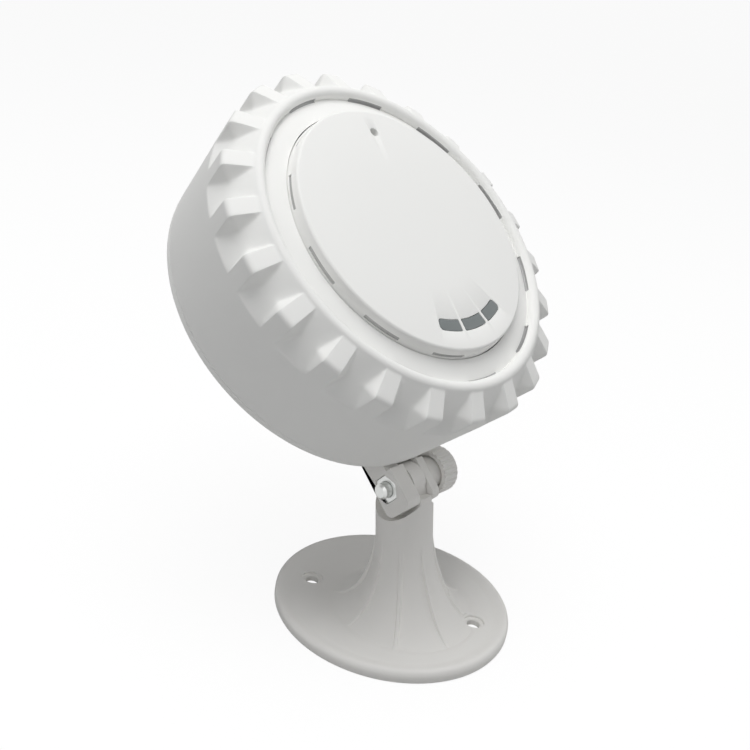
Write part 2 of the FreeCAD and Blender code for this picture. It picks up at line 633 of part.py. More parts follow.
def front_cap():
    lip_top = FLOOR_UNDER
    lip_low = lip_top - CAP_LIP_T
    corner = CAP_ROUND * (1 - math.sqrt(0.5))
    cap = turned([
        line((0, HEAD_DEPTH), (CAP_R - CAP_ROUND, HEAD_DEPTH)),
        arc((CAP_R - CAP_ROUND, HEAD_DEPTH), (CAP_R - corner, HEAD_DEPTH - corner),
            (CAP_R, HEAD_DEPTH - CAP_ROUND)),
        line((CAP_R, HEAD_DEPTH - CAP_ROUND), (CAP_SIDE_R, FLOOR_Z)),
        line((CAP_SIDE_R, FLOOR_Z), (CAP_SIDE_R, lip_top)),
        line((CAP_SIDE_R, lip_top), (CAP_SIDE_R + CAP_LIP, lip_top)),
        line((CAP_SIDE_R + CAP_LIP, lip_top), (CAP_SIDE_R + CAP_LIP, lip_low)),
        line((CAP_SIDE_R + CAP_LIP, lip_low), (CAP_INNER_R, lip_low)),
        line((CAP_INNER_R, lip_low), (CAP_INNER_R, CAP_UNDER)),
        line((CAP_INNER_R, CAP_UNDER), (0, CAP_UNDER)),
        line((0, CAP_UNDER), (0, HEAD_DEPTH))])
    posts = []
    for degrees in board_post_angles():
        x, y = on_circle(BOARD_POST_RADIUS, degrees)
        posts.append(cylinder(BOARD_POST_R, BOARD_TOP, CAP_UNDER + LAP, x, y))
    cap = joined([cap] + posts)
    for degrees in board_post_angles():
        x, y = on_circle(BOARD_POST_RADIUS, degrees)
        cap = cap.cut(cylinder(BOARD_SCREW_R + PILOT_GAP, BOARD_TOP - OVERCUT, CAP_UNDER + LAP, x, y))
    for i in range(SLOT_COUNT):
        centre = 90.0 + i * SLOT_STEP
        low = FLOOR_Z + SLOT_LIFT
        cap = cap.cut(sector(CAP_INNER_R - OVERCUT, CAP_SIDE_R + OVERCUT, low, low + SLOT_H, centre,
                             INNER_SLOT_DEG))
    for index in range(len(WINDOW_DEGS)):
        cap = cap.cut(window_block(index, PILOT_GAP, CAP_UNDER - OVERCUT, HEAD_DEPTH + OVERCUT))
    x, y = on_circle(SENSE_HOLE_RADIUS, SENSE_HOLE_DEG)
    return cap.cut(cylinder(SENSE_HOLE_R, CAP_UNDER - OVERCUT, HEAD_DEPTH + OVERCUT, x, y))


def board_post_angles():
    return (45, 135, 225, 315)


def status_window(index):
    return window_block(index, 0.0, CAP_UNDER, HEAD_DEPTH - PILOT_GAP)


# --- back cover ----------------------------------------------------------------------------
def back_cover():
    spigot_r = BACK_R - WALL - LOOSE_GAP
    plate = cylinder(BACK_R - COVER_EDGE, 0, COVER_T)
    plate = plate.makeFillet(COVER_ROUND, [e for e in plate.Edges if e.BoundBox.ZMax < SAME])
    pieces = [plate, ring(spigot_r - SPIGOT_T, spigot_r, COVER_T - LAP, POST_FOOT)]
    for degrees in pad_angles():
        x, y = on_circle(PAD_RADIUS, degrees)
        pad = cylinder(PAD_R, -PAD_PROUD, LAP, x, y)
        pad = pad.makeFillet(COVER_ROUND, [e for e in pad.Edges if e.BoundBox.ZMax < SAME - PAD_PROUD])
        pieces.append(pad)
        pieces.append(cylinder(POST_R, COVER_T - LAP, POST_FOOT, x, y))
    for x, y in ARM_SCREW_POINTS:
        pieces.append(cylinder(ARM_BOSS_R, COVER_T - LAP, COVER_T + ARM_BOSS_H, x, y))
    cover = joined(pieces)
    for degrees in pad_angles():
        x, y = on_circle(PAD_RADIUS, degrees)
        shank_hole = cylinder(COVER_SCREW_R + LOOSE_GAP / 2, -PAD_PROUD - OVERCUT, POST_FOOT + OVERCUT, x, y)
        cover = cover.cut(shank_hole)
        cover = cover.cut(cylinder(SCREW_HEAD_R + LOOSE_GAP, -PAD_PROUD - OVERCUT, 0, x, y))
    for x, y in ARM_SCREW_POINTS:
        cover = cover.cut(cylinder(ARM_SCREW_R + PILOT_GAP, -OVERCUT, COVER_T + ARM_BOSS_H - BLIND_END, x, y))
    return cover.cut(cylinder(GROMMET_R + PILOT_GAP, -OVERCUT, COVER_T + OVERCUT, 0, GROMMET_Y))


def cover_seal():
    return ring(BACK_R - WALL + SEAL_INSET, BACK_R - COVER_EDGE - SEAL_INSET, COVER_T, SHELL_REAR)


def cover_screws():
    screw = pan_screw(COVER_SCREW_R, COVER_SCREW_L, SCREW_HEAD_R, SCREW_HEAD_H)
    places = [on_circle(PAD_RADIUS, degrees) for degrees in pad_angles()]
    return Part.makeCompound([moved(screw, x, y, 0) for x, y in places])


def cable_grommet():
    lip_r = GROMMET_R + GROMMET_LIP
    outside = cylinder(lip_r, -GROMMET_LIP_T, 0, 0, GROMMET_Y)
    outer_edge = [e for e in outside.Edges if e.BoundBox.ZMax < SAME - GROMMET_LIP_T]
    outside = outside.makeFillet(GROMMET_ROUND, outer_edge)
    inside = cylinder(lip_r, COVER_T, COVER_T + GROMMET_LIP_T, 0, GROMMET_Y)
    plug = joined([outside, inside, cylinder(GROMMET_R, 0, COVER_T, 0, GROMMET_Y)])
    return plug.cut(cylinder(GROMMET_R - GROMMET_WALL, -GROMMET_LIP_T - OVERCUT, COVER_T / 2, 0, GROMMET_Y))


# --- inside the head -----------------------------------------------------------------------
def main_board():
    board = cylinder(BOARD_R, BOARD_UNDER, BOARD_TOP)
    for degrees in board_post_angles():
        x, y = on_circle(BOARD_POST_RADIUS, degrees)
        hole = cylinder(BOARD_SCREW_R + LOOSE_GAP / 2, BOARD_UNDER - OVERCUT, BOARD_TOP + OVERCUT, x, y)
        board = board.cut(hole)
    return board


def board_screws():
    screw = pan_screw(BOARD_SCREW_R, BOARD_SCREW_L, BOARD_SCREW_HEAD_R, BOARD_SCREW_HEAD_H)
    places = [on_circle(BOARD_POST_RADIUS, degrees) for degrees in board_post_angles()]
    return Part.makeCompound([moved(screw, x, y, BOARD_UNDER) for x, y in places])


def status_leds():
    chips = []
    for centre, _ in window_spans():
        chip = block_on(LED_SIZE, (WINDOW_R, 0), BOARD_TOP)
        chip.rotate(V(0, 0, 0), Z_AXIS, centre)
        chips.append(chip)
    return Part.makeCompound(chips)


def light_guide():
    """Three light pipes on one bar that stands on the board."""
    inner = WINDOW_R - GUIDE_W / 2
    outer = WINDOW_R + GUIDE_W / 2
    total = sum(WINDOW_DEGS) + 2 * WINDOW_GAP_DEG
    bar_low = BOARD_TOP + GUIDE_LIFT
    bar_top = bar_low + GUIDE_BAR_T
    pieces = [sector(inner, outer, bar_low, bar_top, WINDOW_CENTRE_DEG, total + 2 * GUIDE_END_DEG)]
    for centre, width in window_spans():
        pieces.append(sector(inner, outer, bar_low, CAP_UNDER, centre, width - WINDOW_GAP_DEG))
    for sign in (-1, 1):
        foot = WINDOW_CENTRE_DEG + sign * (total + GUIDE_END_DEG) / 2
        pieces.append(sector(inner, outer, BOARD_TOP, bar_top, foot, GUIDE_FOOT_DEG))
    return joined(pieces)


def light_sensor():
    x, y = on_circle(SENSE_HOLE_RADIUS, SENSE_HOLE_DEG)
    return cylinder(LIGHT_SENSOR_R, BOARD_TOP, BOARD_TOP + LIGHT_SENSOR_H, x, y)


def gas_sensor():
    x, y = GAS_PLACE
    can_top = BOARD_TOP + GAS_CAN_H
    can = cylinder(GAS_CAN_R, BOARD_TOP, can_top, x, y)
    flange = cylinder(GAS_CAN_R + GAS_FLANGE, BOARD_TOP, BOARD_TOP + GAS_FLANGE_H, x, y)
    mouth = cylinder(GAS_CAN_R / 2, can_top - GAS_MOUTH_H, can_top + OVERCUT, x, y)
    return joined([can, flange]).cut(mouth)


def climate_sensor():
    shape = block_on(CLIMATE_SIZE, CLIMATE_PLACE, BOARD_TOP)
    window = block_on((CLIMATE_SIZE[0] / 2, CLIMATE_SIZE[1] / 2, OVERCUT), CLIMATE_PLACE,
                      BOARD_TOP + CLIMATE_SIZE[2] - CLIMATE_WINDOW_H)
    return shape.cut(window)


def buzzer():
    x, y = BUZZER_PLACE
    low = BOARD_UNDER - BUZZER_H
    body = cylinder(BUZZER_R, low, BOARD_UNDER, x, y)
    return body.cut(cylinder(BUZZER_HOLE_R, low - OVERCUT, BOARD_UNDER - BUZZER_WALL, x, y))


def terminal_block():
    low = BOARD_UNDER - TERMINAL_SIZE[2]
    body = block_on(TERMINAL_SIZE, TERMINAL_PLACE, low)
    pitch = TERMINAL_SIZE[0] / TERMINAL_WAYS
    for i in range(TERMINAL_WAYS):
        x = TERMINAL_PLACE[0] + (i - (TERMINAL_WAYS - 1) / 2) * pitch
        way_top = low + TERMINAL_WAY_DEPTH
        body = body.cut(cylinder(TERMINAL_WAY_R, low - OVERCUT, way_top, x, TERMINAL_PLACE[1]))
    return body


def capacitors():
    cans = [cylinder(CAPACITOR_R, BOARD_UNDER - CAPACITOR_H, BOARD_UNDER, x, y) for x, y in CAPACITOR_PLACES]
    return Part.makeCompound(cans)


def board_chips():
    chips = [block_on(size, place, BOARD_TOP) for size, place in zip(CHIP_SIZES, CHIP_PLACES)]
    return Part.makeCompound(chips)


def cap_mesh():
    return ring(CAP_INNER_R - PILOT_GAP - MESH_T, CAP_INNER_R - PILOT_GAP, FLOOR_Z, CAP_UNDER)


def floor_mesh():
    return ring(CAP_SIDE_R + CAP_LIP + LOOSE_GAP, WELL_R + MESH_BEYOND, FLOOR_UNDER - MESH_T, FLOOR_UNDER)


HEAD_NODES = {
    "swivel_arm": swivel_arm,
    "arm_screws": arm_screws,
    "clamp_bolt": clamp_bolt,
    "clamp_knob": clamp_knob,
    "clamp_washer": clamp_washer,
    "clamp_nut": clamp_nut,
    "housing_shell": housing_shell,
    "front_cap": front_cap,
    "back_cover": back_cover,
    "cover_seal": cover_seal,
    "cover_screws": cover_screws,
    "cable_grommet": cable_grommet,
    "status_window_left": lambda: status_window(0),
    "status_window_centre": lambda: status_window(1),
    "status_window_right": lambda: status_window(2),
    "main_board": main_board,
    "board_screws": board_screws,
    "status_leds": status_leds,
    "light_guide": light_guide,
    "light_sensor": light_sensor,
    "gas_sensor": gas_sensor,
    "climate_sensor": climate_sensor,
    "buzzer": buzzer,
    "terminal_block": terminal_block,
    "capacitors": capacitors,
    "board_chips": board_chips,
    "cap_mesh": cap_mesh,
    "floor_mesh": floor_mesh,
}


def main():
    os.makedirs("parts", exist_ok=True)
    bracket_base().exportStep("parts/bracket_base.step")
    for node, build in HEAD_NODES.items():
        in_world(build()).exportStep("parts/" + node + ".step")


main()
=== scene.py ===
"""Dresses the round air-sensor head and its swivel bracket around the fixed frame."""
import bpy
import bmesh
import json
import math
from bpy.props import FloatProperty, FloatVectorProperty, IntProperty, PointerProperty
from mathutils import Matrix, Vector


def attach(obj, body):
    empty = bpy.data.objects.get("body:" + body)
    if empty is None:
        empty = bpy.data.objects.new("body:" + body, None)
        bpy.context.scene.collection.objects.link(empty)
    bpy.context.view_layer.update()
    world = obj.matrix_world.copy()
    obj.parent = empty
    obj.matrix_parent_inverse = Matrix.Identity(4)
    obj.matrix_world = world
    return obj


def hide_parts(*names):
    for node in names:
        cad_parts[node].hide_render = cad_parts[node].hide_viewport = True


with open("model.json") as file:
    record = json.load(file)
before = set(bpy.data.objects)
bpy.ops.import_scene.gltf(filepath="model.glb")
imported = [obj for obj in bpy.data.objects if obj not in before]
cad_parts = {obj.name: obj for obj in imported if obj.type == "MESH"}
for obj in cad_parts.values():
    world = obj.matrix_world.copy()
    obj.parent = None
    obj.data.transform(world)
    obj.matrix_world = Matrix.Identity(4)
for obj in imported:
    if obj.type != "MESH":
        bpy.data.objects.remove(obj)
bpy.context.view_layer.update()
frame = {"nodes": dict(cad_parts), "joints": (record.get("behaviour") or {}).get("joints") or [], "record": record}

bl_info = {
    "name": "Swivel air sensor",
    "version": (1, 0, 0),
    "blender": (4, 5, 0),
    "location": "3D View > Sidebar > Sensor",
    "description": "Builds the sensor head, its clamp and its bracket around the frame",
    "category": "Object",
}

MM = 0.001
# Lengths and turns too small to count.
MERGE = 1e-6
ON_AXIS = 1e-9
NO_TOOTH = 1e-7
SAME_TURN = 1e-5
# Head: gaps, edges and the forms hidden behind them.
CAP_GAP = 0.3 * MM
REAR_EDGE = 0.4 * MM
CREST_IN = 0.3 * MM
SLOT_INSET = 0.6 * MM
SHELF_IN = 1.2 * MM
CROWN_OUT = 1.6 * MM
CROWN_IN = 0.6 * MM
CROWN_DOWN = 1.0 * MM
FLANK = 2.6 * MM
FLANK_CLEAR = 2.5 * MM
EDGE_SHARE = 0.2
DRAFT_HIGH = 0.5
DRAFT_LOW = 0.8
HOLE_FLARE = 0.2 * MM
# Near-black blocks that fill the vent slots: painted shade in the slots, standing in for the mesh behind them.
SLOT_SHADE_GAP = 0.05 * MM
SLOT_SHADE_SHARE = 0.995
SLOT_SHADE_BACK = 1.0 * MM
SLOT_SHADE_IN = 0.55 * MM
SLOT_SHADE_OUT = 1.15 * MM
SLOT_SHADE_LIP = 0.15 * MM
BEYOND = 1 * MM
# Status windows.
WINDOW_GAP = 0.12 * MM
WINDOW_FLARE = 0.22 * MM
LENS_GAP = 0.03 * MM
LENS_EDGE = ((0.2, 0.0), (0.08, 0.1), (0.05, 0.3))
CORNER = 0.35 * MM
STEP_ASIDE = 0.02
WINDOW_TURNS = [math.radians(degrees) for degrees in (14.6, 16.6, 14.6)]
# Bracket, and the solids that only get rounded edges: node, body, width.
SEAT_FLARE = 0.3 * MM
TONGUE_SINK = 2 * MM
ROUNDED = (("swivel_arm", "head", 1.2 * MM), ("clamp_knob", "clamp", 0.25 * MM),
           ("clamp_nut", "head", 0.3 * MM), ("back_cover", "head", 0.4 * MM))
# Angles above which an edge stays sharp.
SHARP = 32.0
LENS_SHARP = 40.0
BRACKET_SHARP = 30.0
BEVEL_FROM = 40.0
FLAT_WITHIN = 0.5
# Steps along curves.
SHOULDER_STEPS = 24
CREST_STEPS = 12
DRUM_STEPS = 8
TIP_STEPS = 8
FACE_STEPS = 3
FLANK_STEPS = 11
GAP_STEPS = 4
EDGE_STEPS = 6
CAP_COLUMNS = 24
HOLE_STEPS = 40
SLOT_SHADE_STEPS = 8
WINDOW_STEPS = 8
RIM_STEPS = 7
EASE_STEPS = 10
PLAIN_STEPS = 4
FLARE_STEPS = 40
ROUND_STEPS = 48
# Height of the moulding's grain, and half the floor.
RELIEF = 0.0001
FLOOR_HALF = 30
JOINTS = {joint["name"]: joint for joint in frame["joints"]}
PIVOT = Vector(JOINTS["head_tilt"]["pos_m"])


def size(name, millimetres, description):
    return FloatProperty(name=name, description=description, default=millimetres * MM,
                         subtype="DISTANCE", unit="LENGTH", precision=5)


def turn(name, degrees, description):
    return FloatProperty(name=name, description=description, default=math.radians(degrees),
                         subtype="ANGLE", unit="ROTATION")


def colour(name, red, green, blue, description):
    return FloatVectorProperty(name=name, description=description, default=(red, green, blue, 1.0),
                               subtype="COLOR", size=4, min=0.0, max=1.0)


def count(name, number, description):
    return IntProperty(name=name, description=description, default=number, min=3)


def plain(name, number, description):
    return FloatProperty(name=name, description=description, default=number)


# --- sizes and colours ---------------------------------------------------------------------
class HeadSizes(bpy.types.PropertyGroup):
    lean: turn("Lean", 39.9, "Angle of the head's axis from upright at rest")
    pin_drop: size("Pin drop", 62.1, "Clamp pin to the head's axis")
    pin_back: size("Pin back", 4.6, "Clamp pin behind the back cover's face")
    depth: size("Depth", 47.7, "Back cover to front cap")
    rear: size("Rear edge height", 2.5, "Shell's rear edge above the back cover's face")
    wall: size("Wall", 2.2, "Shell's wall")
    back_r: size("Rear radius", 57.0, "Outer radius at the rear edge")
    drum_r: size("Drum radius", 60.1, "Outer radius where the teeth run out")
    drum_top: size("Drum top", 30.7, "Height where the shoulder starts")
    shoulder_r: size("Shoulder radius", 56.5, "Radius half way round the shoulder")
    shoulder_top: size("Shoulder height", 38.3, "Height half way round the shoulder")
    crest_out_r: size("Crest foot radius", 52.9, "Where the crest starts outside")
    crest_r: size("Crest radius", 51.3, "Top of the crest")
    well_r: size("Well radius", 49.3, "Inside of the crest")
    crest_below: size("Crest below face", 2.6, "Crest's top below the cap's face")
    crest_out_below: size("Crest foot below face", 3.5, "Crest's outer foot below the cap's face")
    well_below: size("Well below face", 5.3, "Well's floor at its edge below the cap's face")
    floor_below: size("Floor below face", 4.0, "Floor at the cap below the cap's face")
    floor_t: size("Floor thickness", 2.0, "Thickness of the well's floor")
    slot_h: size("Outer slot height", 1.2, "Vent slot's height in the crest's inner wall")
    slot_turn: turn("Outer slot width", 15.5, "Vent slot's length round the well")


class ToothSizes(bpy.types.PropertyGroup):
    teeth: count("Teeth", 22, "Grip teeth round the head")
    width: size("Width", 5.6, "Tooth's flat, measured round the head")
    tip_r: size("Tip radius", 61.1, "Outer radius over the teeth")
    tip_below: size("Tip below face", 7.2, "Tooth's tip below the cap's face")
    foot: size("Foot height", 28.7, "Where a tooth runs out on the drum")
    tip_round: size("Tip rounding", 1.3, "Rounding over the tooth's tip")
    steep: FloatProperty(name="Flank slope", description="Height lost per length down the flank",
                         default=1.9, min=0.5, max=5.0)
    edge_round: size("Edge rounding", 0.22, "Rounding of the tooth's long edges")
    foot_round: size("Foot rounding", 1.0, "Hollow where the flank meets the gap")


class CapSizes(bpy.types.PropertyGroup):
    radius: size("Radius", 41.5, "Cap's radius at its face")
    draft: size("Draft", 0.6, "How much wider the cap is at the floor")
    rounding: size("Rounding", 0.9, "Rounding at the edge of the face")
    wall: size("Wall", 0.8, "Thickness of the cap's side at its slots")
    top: size("Face thickness", 2.2, "Thickness of the cap's face")
    slots: count("Vent slots", 11, "Slots round the cap's side")
    slot_turn: turn("Slot width", 16.5, "Slot's length round the cap")
    slot_h: size("Slot height", 1.2, "Slot's height in the cap's side")
    window_r: size("Window radius", 33.4, "Middle of the status windows")
    window_w: size("Window width", 3.6, "Width of the status windows")
    window_gap: turn("Window gap", 2.3, "Between two windows")
    window_turn: turn("Window place", -86.0, "Middle of the windows round the cap")
    window_round: size("Window rounding", 1.3, "Rounding of the strip's two ends")
    hole_r: size("Sensing hole radius", 1.5, "Small hole in the face")
    hole_place: size("Sensing hole place", 33.5, "Hole's distance from the middle")
    hole_turn: turn("Sensing hole angle", 82.0, "Hole's place round the cap")


class BracketSizes(bpy.types.PropertyGroup):
    plate_r: size("Plate radius", 38.7, "Round mounting plate")
    rim_top: size("Rim height", 3.8, "Plate's rolled rim")
    rim_round: size("Rim rounding", 1.5, "Outside of the rolled rim")
    dish_top: size("Dish height", 3.0, "Plate's top inside its rim")
    dish_r: size("Dish radius", 33.0, "Where the rim starts to rise")
    flare_r: size("Flare radius", 24.0, "Foot of the flare")
    flare_top: size("Flare height", 27.5, "Where the flare fades into the column")
    flare_sink: size("Flare sink", 0.2, "Flare's foot below the plate's top")
    rake: turn("Rake", 12.3, "Column's lean from the plate's axis")
    foot_y: size("Column's place", -5.5, "Column's axis at the mounting face")
    column_r: size("Column radius", 9.2, "Round column")
    column_top: size("Column's end", 43.2, "Column's own end, up the column")
    recess_r: size("Recess radius", 34.5, "Hollow under the plate")
    recess_h: size("Recess height", 1.0, "Depth of the hollow")
    core_r: size("Core radius", 17.0, "Foot of the hollow up the column")
    core_tip_r: size("Core tip radius", 5.0, "Top of that hollow")
    core_h: size("Core height", 20.0, "Height of that hollow")
    ribs: count("Ribs", 8, "Webs round the flare")
    rib_turn: turn("Rib place", -11.0, "One web's place round the column")
    rib_w: size("Rib width", 0.9, "Width of a web's crest")
    rib_h: size("Rib height", 1.1, "How far a web stands out of the flare")
    rib_slope: size("Rib flank", 0.35, "Width of a web's flank")
    holes_r: size("Screw circle", 27.5, "Radius of the screw circle")
    holes_turn: turn("Screw line", -61.0, "Line through the two screws")
    hole_r: size("Screw hole", 2.15, "Radius of a screw hole")
    sink_r: size("Screw seat", 3.3, "Radius of a screw's seat")
    sink_h: size("Screw seat depth", 1.0, "Depth of a screw's seat")
    boss_r: size("Screw boss", 5.5, "Radius of the boss under a screw")
    pivot_h: size("Pin height", 46.2, "Pin's place up the column")
    tongue_t: size("Tongue thickness", 5.6, "Tongue between the ears")
    tongue_r: size("Tongue radius", 6.4, "Tongue's round end")
    seat_r: size("Seat radius", 10.13, "Hollow the ears swing in")
    bore_r: size("Bore radius", 2.56, "Bolt's bore")


class FinishColours(bpy.types.PropertyGroup):
    housing: colour("Housing", 0.80, 0.80, 0.775, "Moulded head")
    bracket: colour("Bracket", 0.90, 0.89, 0.855, "Moulded bracket, arm and knob")
    window: colour("Window", 0.028, 0.034, 0.034, "Smoked status windows")
    zinc: colour("Zinc", 0.36, 0.365, 0.35, "Bright plated steel")
    floor: colour("Floor", 0.50, 0.50, 0.50, "Studio floor")


class StageSizes(bpy.types.PropertyGroup):
    aim: FloatVectorProperty(name="Aim", description="Point the camera looks at", size=3,
                             default=(-0.0064, 0.0186, 0.0779), subtype="TRANSLATION",
                             unit="LENGTH", precision=5)
    distance: size("Distance", 334.9, "Camera to the point it looks at")
    azimuth: turn("Azimuth", 218.15, "Camera's place round the object, from +X")
    elevation: turn("Elevation", 23.1, "Camera's height as an angle")
    roll: turn("Roll", 10.1, "How far the camera's right side is tipped up")
    lens: plain("Lens", 52.3, "Focal length on a 36 mm sensor")
    top_power: plain("Top light", 4.6, "Power of the softbox above")
    left_power: plain("Left light", 0.9, "Power of the softbox at the left")
    right_power: plain("Right light", 1.1, "Power of the softbox at the right")
    ambient: plain("Ambient", 0.24, "Strength of the world's light")
    floor_white: plain("Floor white", 0.80, "Share of the floor that is seen plain white")
    floor_glow: plain("Floor glow", 1.14, "Brightness of that white")


# --- shapes --------------------------------------------------------------------------------
def head_place(scene):
    sizes = scene.head_sizes
    return (Matrix.Translation(PIVOT) @ Matrix.Rotation(sizes.lean, 4, "X")
            @ Matrix.Translation((0, sizes.pin_drop, sizes.pin_back)))


def arc_points(a, middle, b, steps):
    """Points on the circle through three (radius, height) points, without the first."""
    ax, ay = a
    bx, by = middle
    cx, cy = b
    d = 2 * (ax * (by - cy) + bx * (cy - ay) + cx * (ay - by))
    ux = ((ax**2 + ay**2) * (by - cy) + (bx**2 + by**2) * (cy - ay) + (cx**2 + cy**2) * (ay - by)) / d
    uy = ((ax**2 + ay**2) * (cx - bx) + (bx**2 + by**2) * (ax - cx) + (cx**2 + cy**2) * (bx - ax)) / d
    radius = math.hypot(ax - ux, ay - uy)
    start = math.atan2(ay - uy, ax - ux)
    end = math.atan2(cy - uy, cx - ux)
    mid = math.atan2(by - uy, bx - ux)
    sweep = (end - start) % (2 * math.pi)
    if (mid - start) % (2 * math.pi) > sweep:
        sweep -= 2 * math.pi
    return [(ux + radius * math.cos(start + sweep * i / steps),
             uy + radius * math.sin(start + sweep * i / steps)) for i in range(1, steps + 1)]


def along(points, steps):
    """The polyline's points at even spacing, ends included."""
    lengths = [0.0]
    for a, b in zip(points, points[1:]):
        lengths.append(lengths[-1] + math.dist(a, b))
    result = []
    for i in range(steps + 1):
        wanted = lengths[-1] * i / steps
        k = min(max(j for j, length in enumerate(lengths) if length <= wanted + 1e-12), len(points) - 2)
        part = (wanted - lengths[k]) / max(lengths[k + 1] - lengths[k], 1e-12)
        result.append(tuple(p + (q - p) * part for p, q in zip(points[k], points[k + 1])))
    return result


def soft_above(value, limit, radius):
    """max(value, limit) with a rounded corner."""
    difference = value - limit
    return limit + 0.5 * (difference + math.sqrt(difference * difference + radius * radius))


def bent(a, b, c, steps):
    """Points from a to c, on a curve drawn towards b."""
    result = []
    for i in range(steps + 1):
        u = i / steps
        result.append(tuple((1 - u) ** 2 * p + 2 * u * (1 - u) * q + u * u * r for p, q, r in zip(a, b, c)))
    return result


def column_of(profile, angle):
    """The (radius, height) points, carried to an angle round Z."""
    return [(radius * math.cos(angle), radius * math.sin(angle), height) for radius, height in profile]


def column_faces(columns, rows, skipped=lambda i, k: False):
    """Quads between neighbouring columns of one closed profile."""
    return [(i * rows + k, (i + 1) * rows + k, (i + 1) * rows + (k + 1) % rows, i * rows + (k + 1) % rows)
            for i in range(columns - 1) for k in range(rows) if not skipped(i, k)]


def new_object(name, vertices, faces, place=None):
    mesh = bpy.data.meshes.new(name)
    mesh.from_pydata(vertices, [], faces)
    mesh.update()
    if place is not None:
        mesh.transform(place)
    obj = bpy.data.objects.new(name, mesh)
    bpy.context.scene.collection.objects.link(obj)
    return obj


def settle(obj):
    """Turns the object with its modifiers into a plain mesh."""
    bpy.context.view_layer.update()
    evaluated = obj.evaluated_get(bpy.context.evaluated_depsgraph_get())
    mesh = bpy.data.meshes.new_from_object(evaluated)
    mesh.name = obj.name
    obj.modifiers.clear()
    obj.data = mesh


def smooth(obj, degrees):
    obj.data.shade_smooth()
    obj.data.set_sharp_from_angle(angle=math.radians(degrees))


def outward(obj):
    """Merges doubles and turns every face outwards."""
    mesh = bmesh.new()
    mesh.from_mesh(obj.data)
    bmesh.ops.remove_doubles(mesh, verts=mesh.verts, dist=MERGE)
    bmesh.ops.recalc_face_normals(mesh, faces=mesh.faces)
    mesh.to_mesh(obj.data)
    mesh.free()


def lathe(name, profile, steps, place):
    """Closed body of revolution from (radius, height) points; radius 0 points become poles."""
    vertices = []
    faces = []
    for i in range(steps):
        vertices += column_of(profile, 2 * math.pi * i / steps)
    rows = len(profile)
    for i in range(steps):
        other = (i + 1) % steps
        for k in range(rows):
            after = (k + 1) % rows
            if profile[k][0] < ON_AXIS and profile[after][0] < ON_AXIS:
                continue
            faces.append((i * rows + k, other * rows + k, other * rows + after, i * rows + after))
    obj = new_object(name, vertices, faces, place)
    outward(obj)
    return obj


def rod(name, radius, low, high, steps, place):
    return lathe(name, [(0.0, low), (radius, low), (radius, high), (0.0, high)], steps, place)


def stacked(name, levels, place=None):
    """Closed body through outlines of one length, each above the last."""
    n = len(levels[0])
    vertices = [point for level in levels for point in level]
    faces = [tuple(range(n)), tuple(range((len(levels) - 1) * n, len(levels) * n))]
    faces += [(low + k, low + (k + 1) % n, low + n + (k + 1) % n, low + n + k)
              for low in range(0, (len(levels) - 1) * n, n) for k in range(n)]
    obj = new_object(name, vertices, faces, place)
    outward(obj)
    return obj


def modified(obj, kind, **settings):
    modifier = obj.modifiers.new(kind.lower(), kind)
    for key, value in settings.items():
        setattr(modifier, key, value)
    settle(obj)


def cut(obj, cutter, operation="DIFFERENCE"):
    modified(obj, "BOOLEAN", object=cutter, operation=operation, solver="EXACT")
    bpy.data.objects.remove(cutter)


def dress(obj, slot, body, *nodes):
    obj.data.materials.clear()
    obj.data.materials.append(finish_for(slot))
    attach(obj, body)
    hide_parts(*nodes)


# --- node trees ----------------------------------------------------------------------------
def sockets_of(tree, way, *rows):
    """Adds (label, kind) or (label, kind, default) sockets to a node tree."""
    for label, kind, *default in rows:
        socket = tree.interface.new_socket(label, in_out=way, socket_type="NodeSocket" + kind)
        if default:
            socket.default_value = default[0]


def fed(tree, kind, values, **settings):
    """First output of a new node, its inputs linked to sockets or set to numbers."""
    node = tree.nodes.new(kind)
    for key, value in settings.items():
        setattr(node, key, value)
    for key, value in values.items():
        if isinstance(value, bpy.types.NodeSocket):
            tree.links.new(value, node.inputs[key])
        else:
            node.inputs[key].default_value = value
    return node.outputs[0]


def sum_of(tree, operation, *values):
    """Output of a math node."""
    return fed(tree, "ShaderNodeMath", dict(enumerate(values)), operation=operation)


def ring_tree(name):
    """Node tree that repeats its mesh round Z and joins the copies."""
    tree = bpy.data.node_groups.new(name, "GeometryNodeTree")
    sockets_of(tree, "INPUT", ("Geometry", "Geometry"), ("Copies", "Int", 11),
               ("Merge distance", "Float", MERGE), ("Material", "Material"))
    sockets_of(tree, "OUTPUT", ("Geometry", "Geometry"))
    source = tree.nodes.new("NodeGroupInput").outputs
    points = fed(tree, "GeometryNodeMeshLine", {"Count": source["Copies"], "Offset": (0, 0, 0)},
                 mode="OFFSET")
    index = tree.nodes.new("GeometryNodeInputIndex").outputs[0]
    angle = sum_of(tree, "MULTIPLY", index, sum_of(tree, "DIVIDE", 2 * math.pi, source["Copies"]))
    rotation = fed(tree, "ShaderNodeCombineXYZ", {"Z": angle})
    placed = fed(tree, "GeometryNodeInstanceOnPoints",
                 {"Points": points, "Instance": source["Geometry"], "Rotation": rotation})
    real = fed(tree, "GeometryNodeRealizeInstances", {"Geometry": placed})
    joined = fed(tree, "GeometryNodeMergeByDistance",
                 {"Geometry": real, "Distance": source["Merge distance"]})
    painted = fed(tree, "GeometryNodeSetMaterial", {"Geometry": joined, "Material": source["Material"]})
    tree.links.new(painted, tree.nodes.new("NodeGroupOutput").inputs["Geometry"])
    return tree


def repeat_round(obj, copies, slot):
    name = "repeat round"
    tree = bpy.data.node_groups.get(name) or ring_tree(name)
    modifier = obj.modifiers.new("repeat", "NODES")
    modifier.node_group = tree
    sockets = {s.name: s.identifier for s in tree.interface.items_tree if s.in_out == "INPUT"}
    modifier[sockets["Copies"]] = copies
    modifier[sockets["Merge distance"]] = 2 * MERGE
    modifier[sockets["Material"]] = finish_for(slot)
    settle(obj)


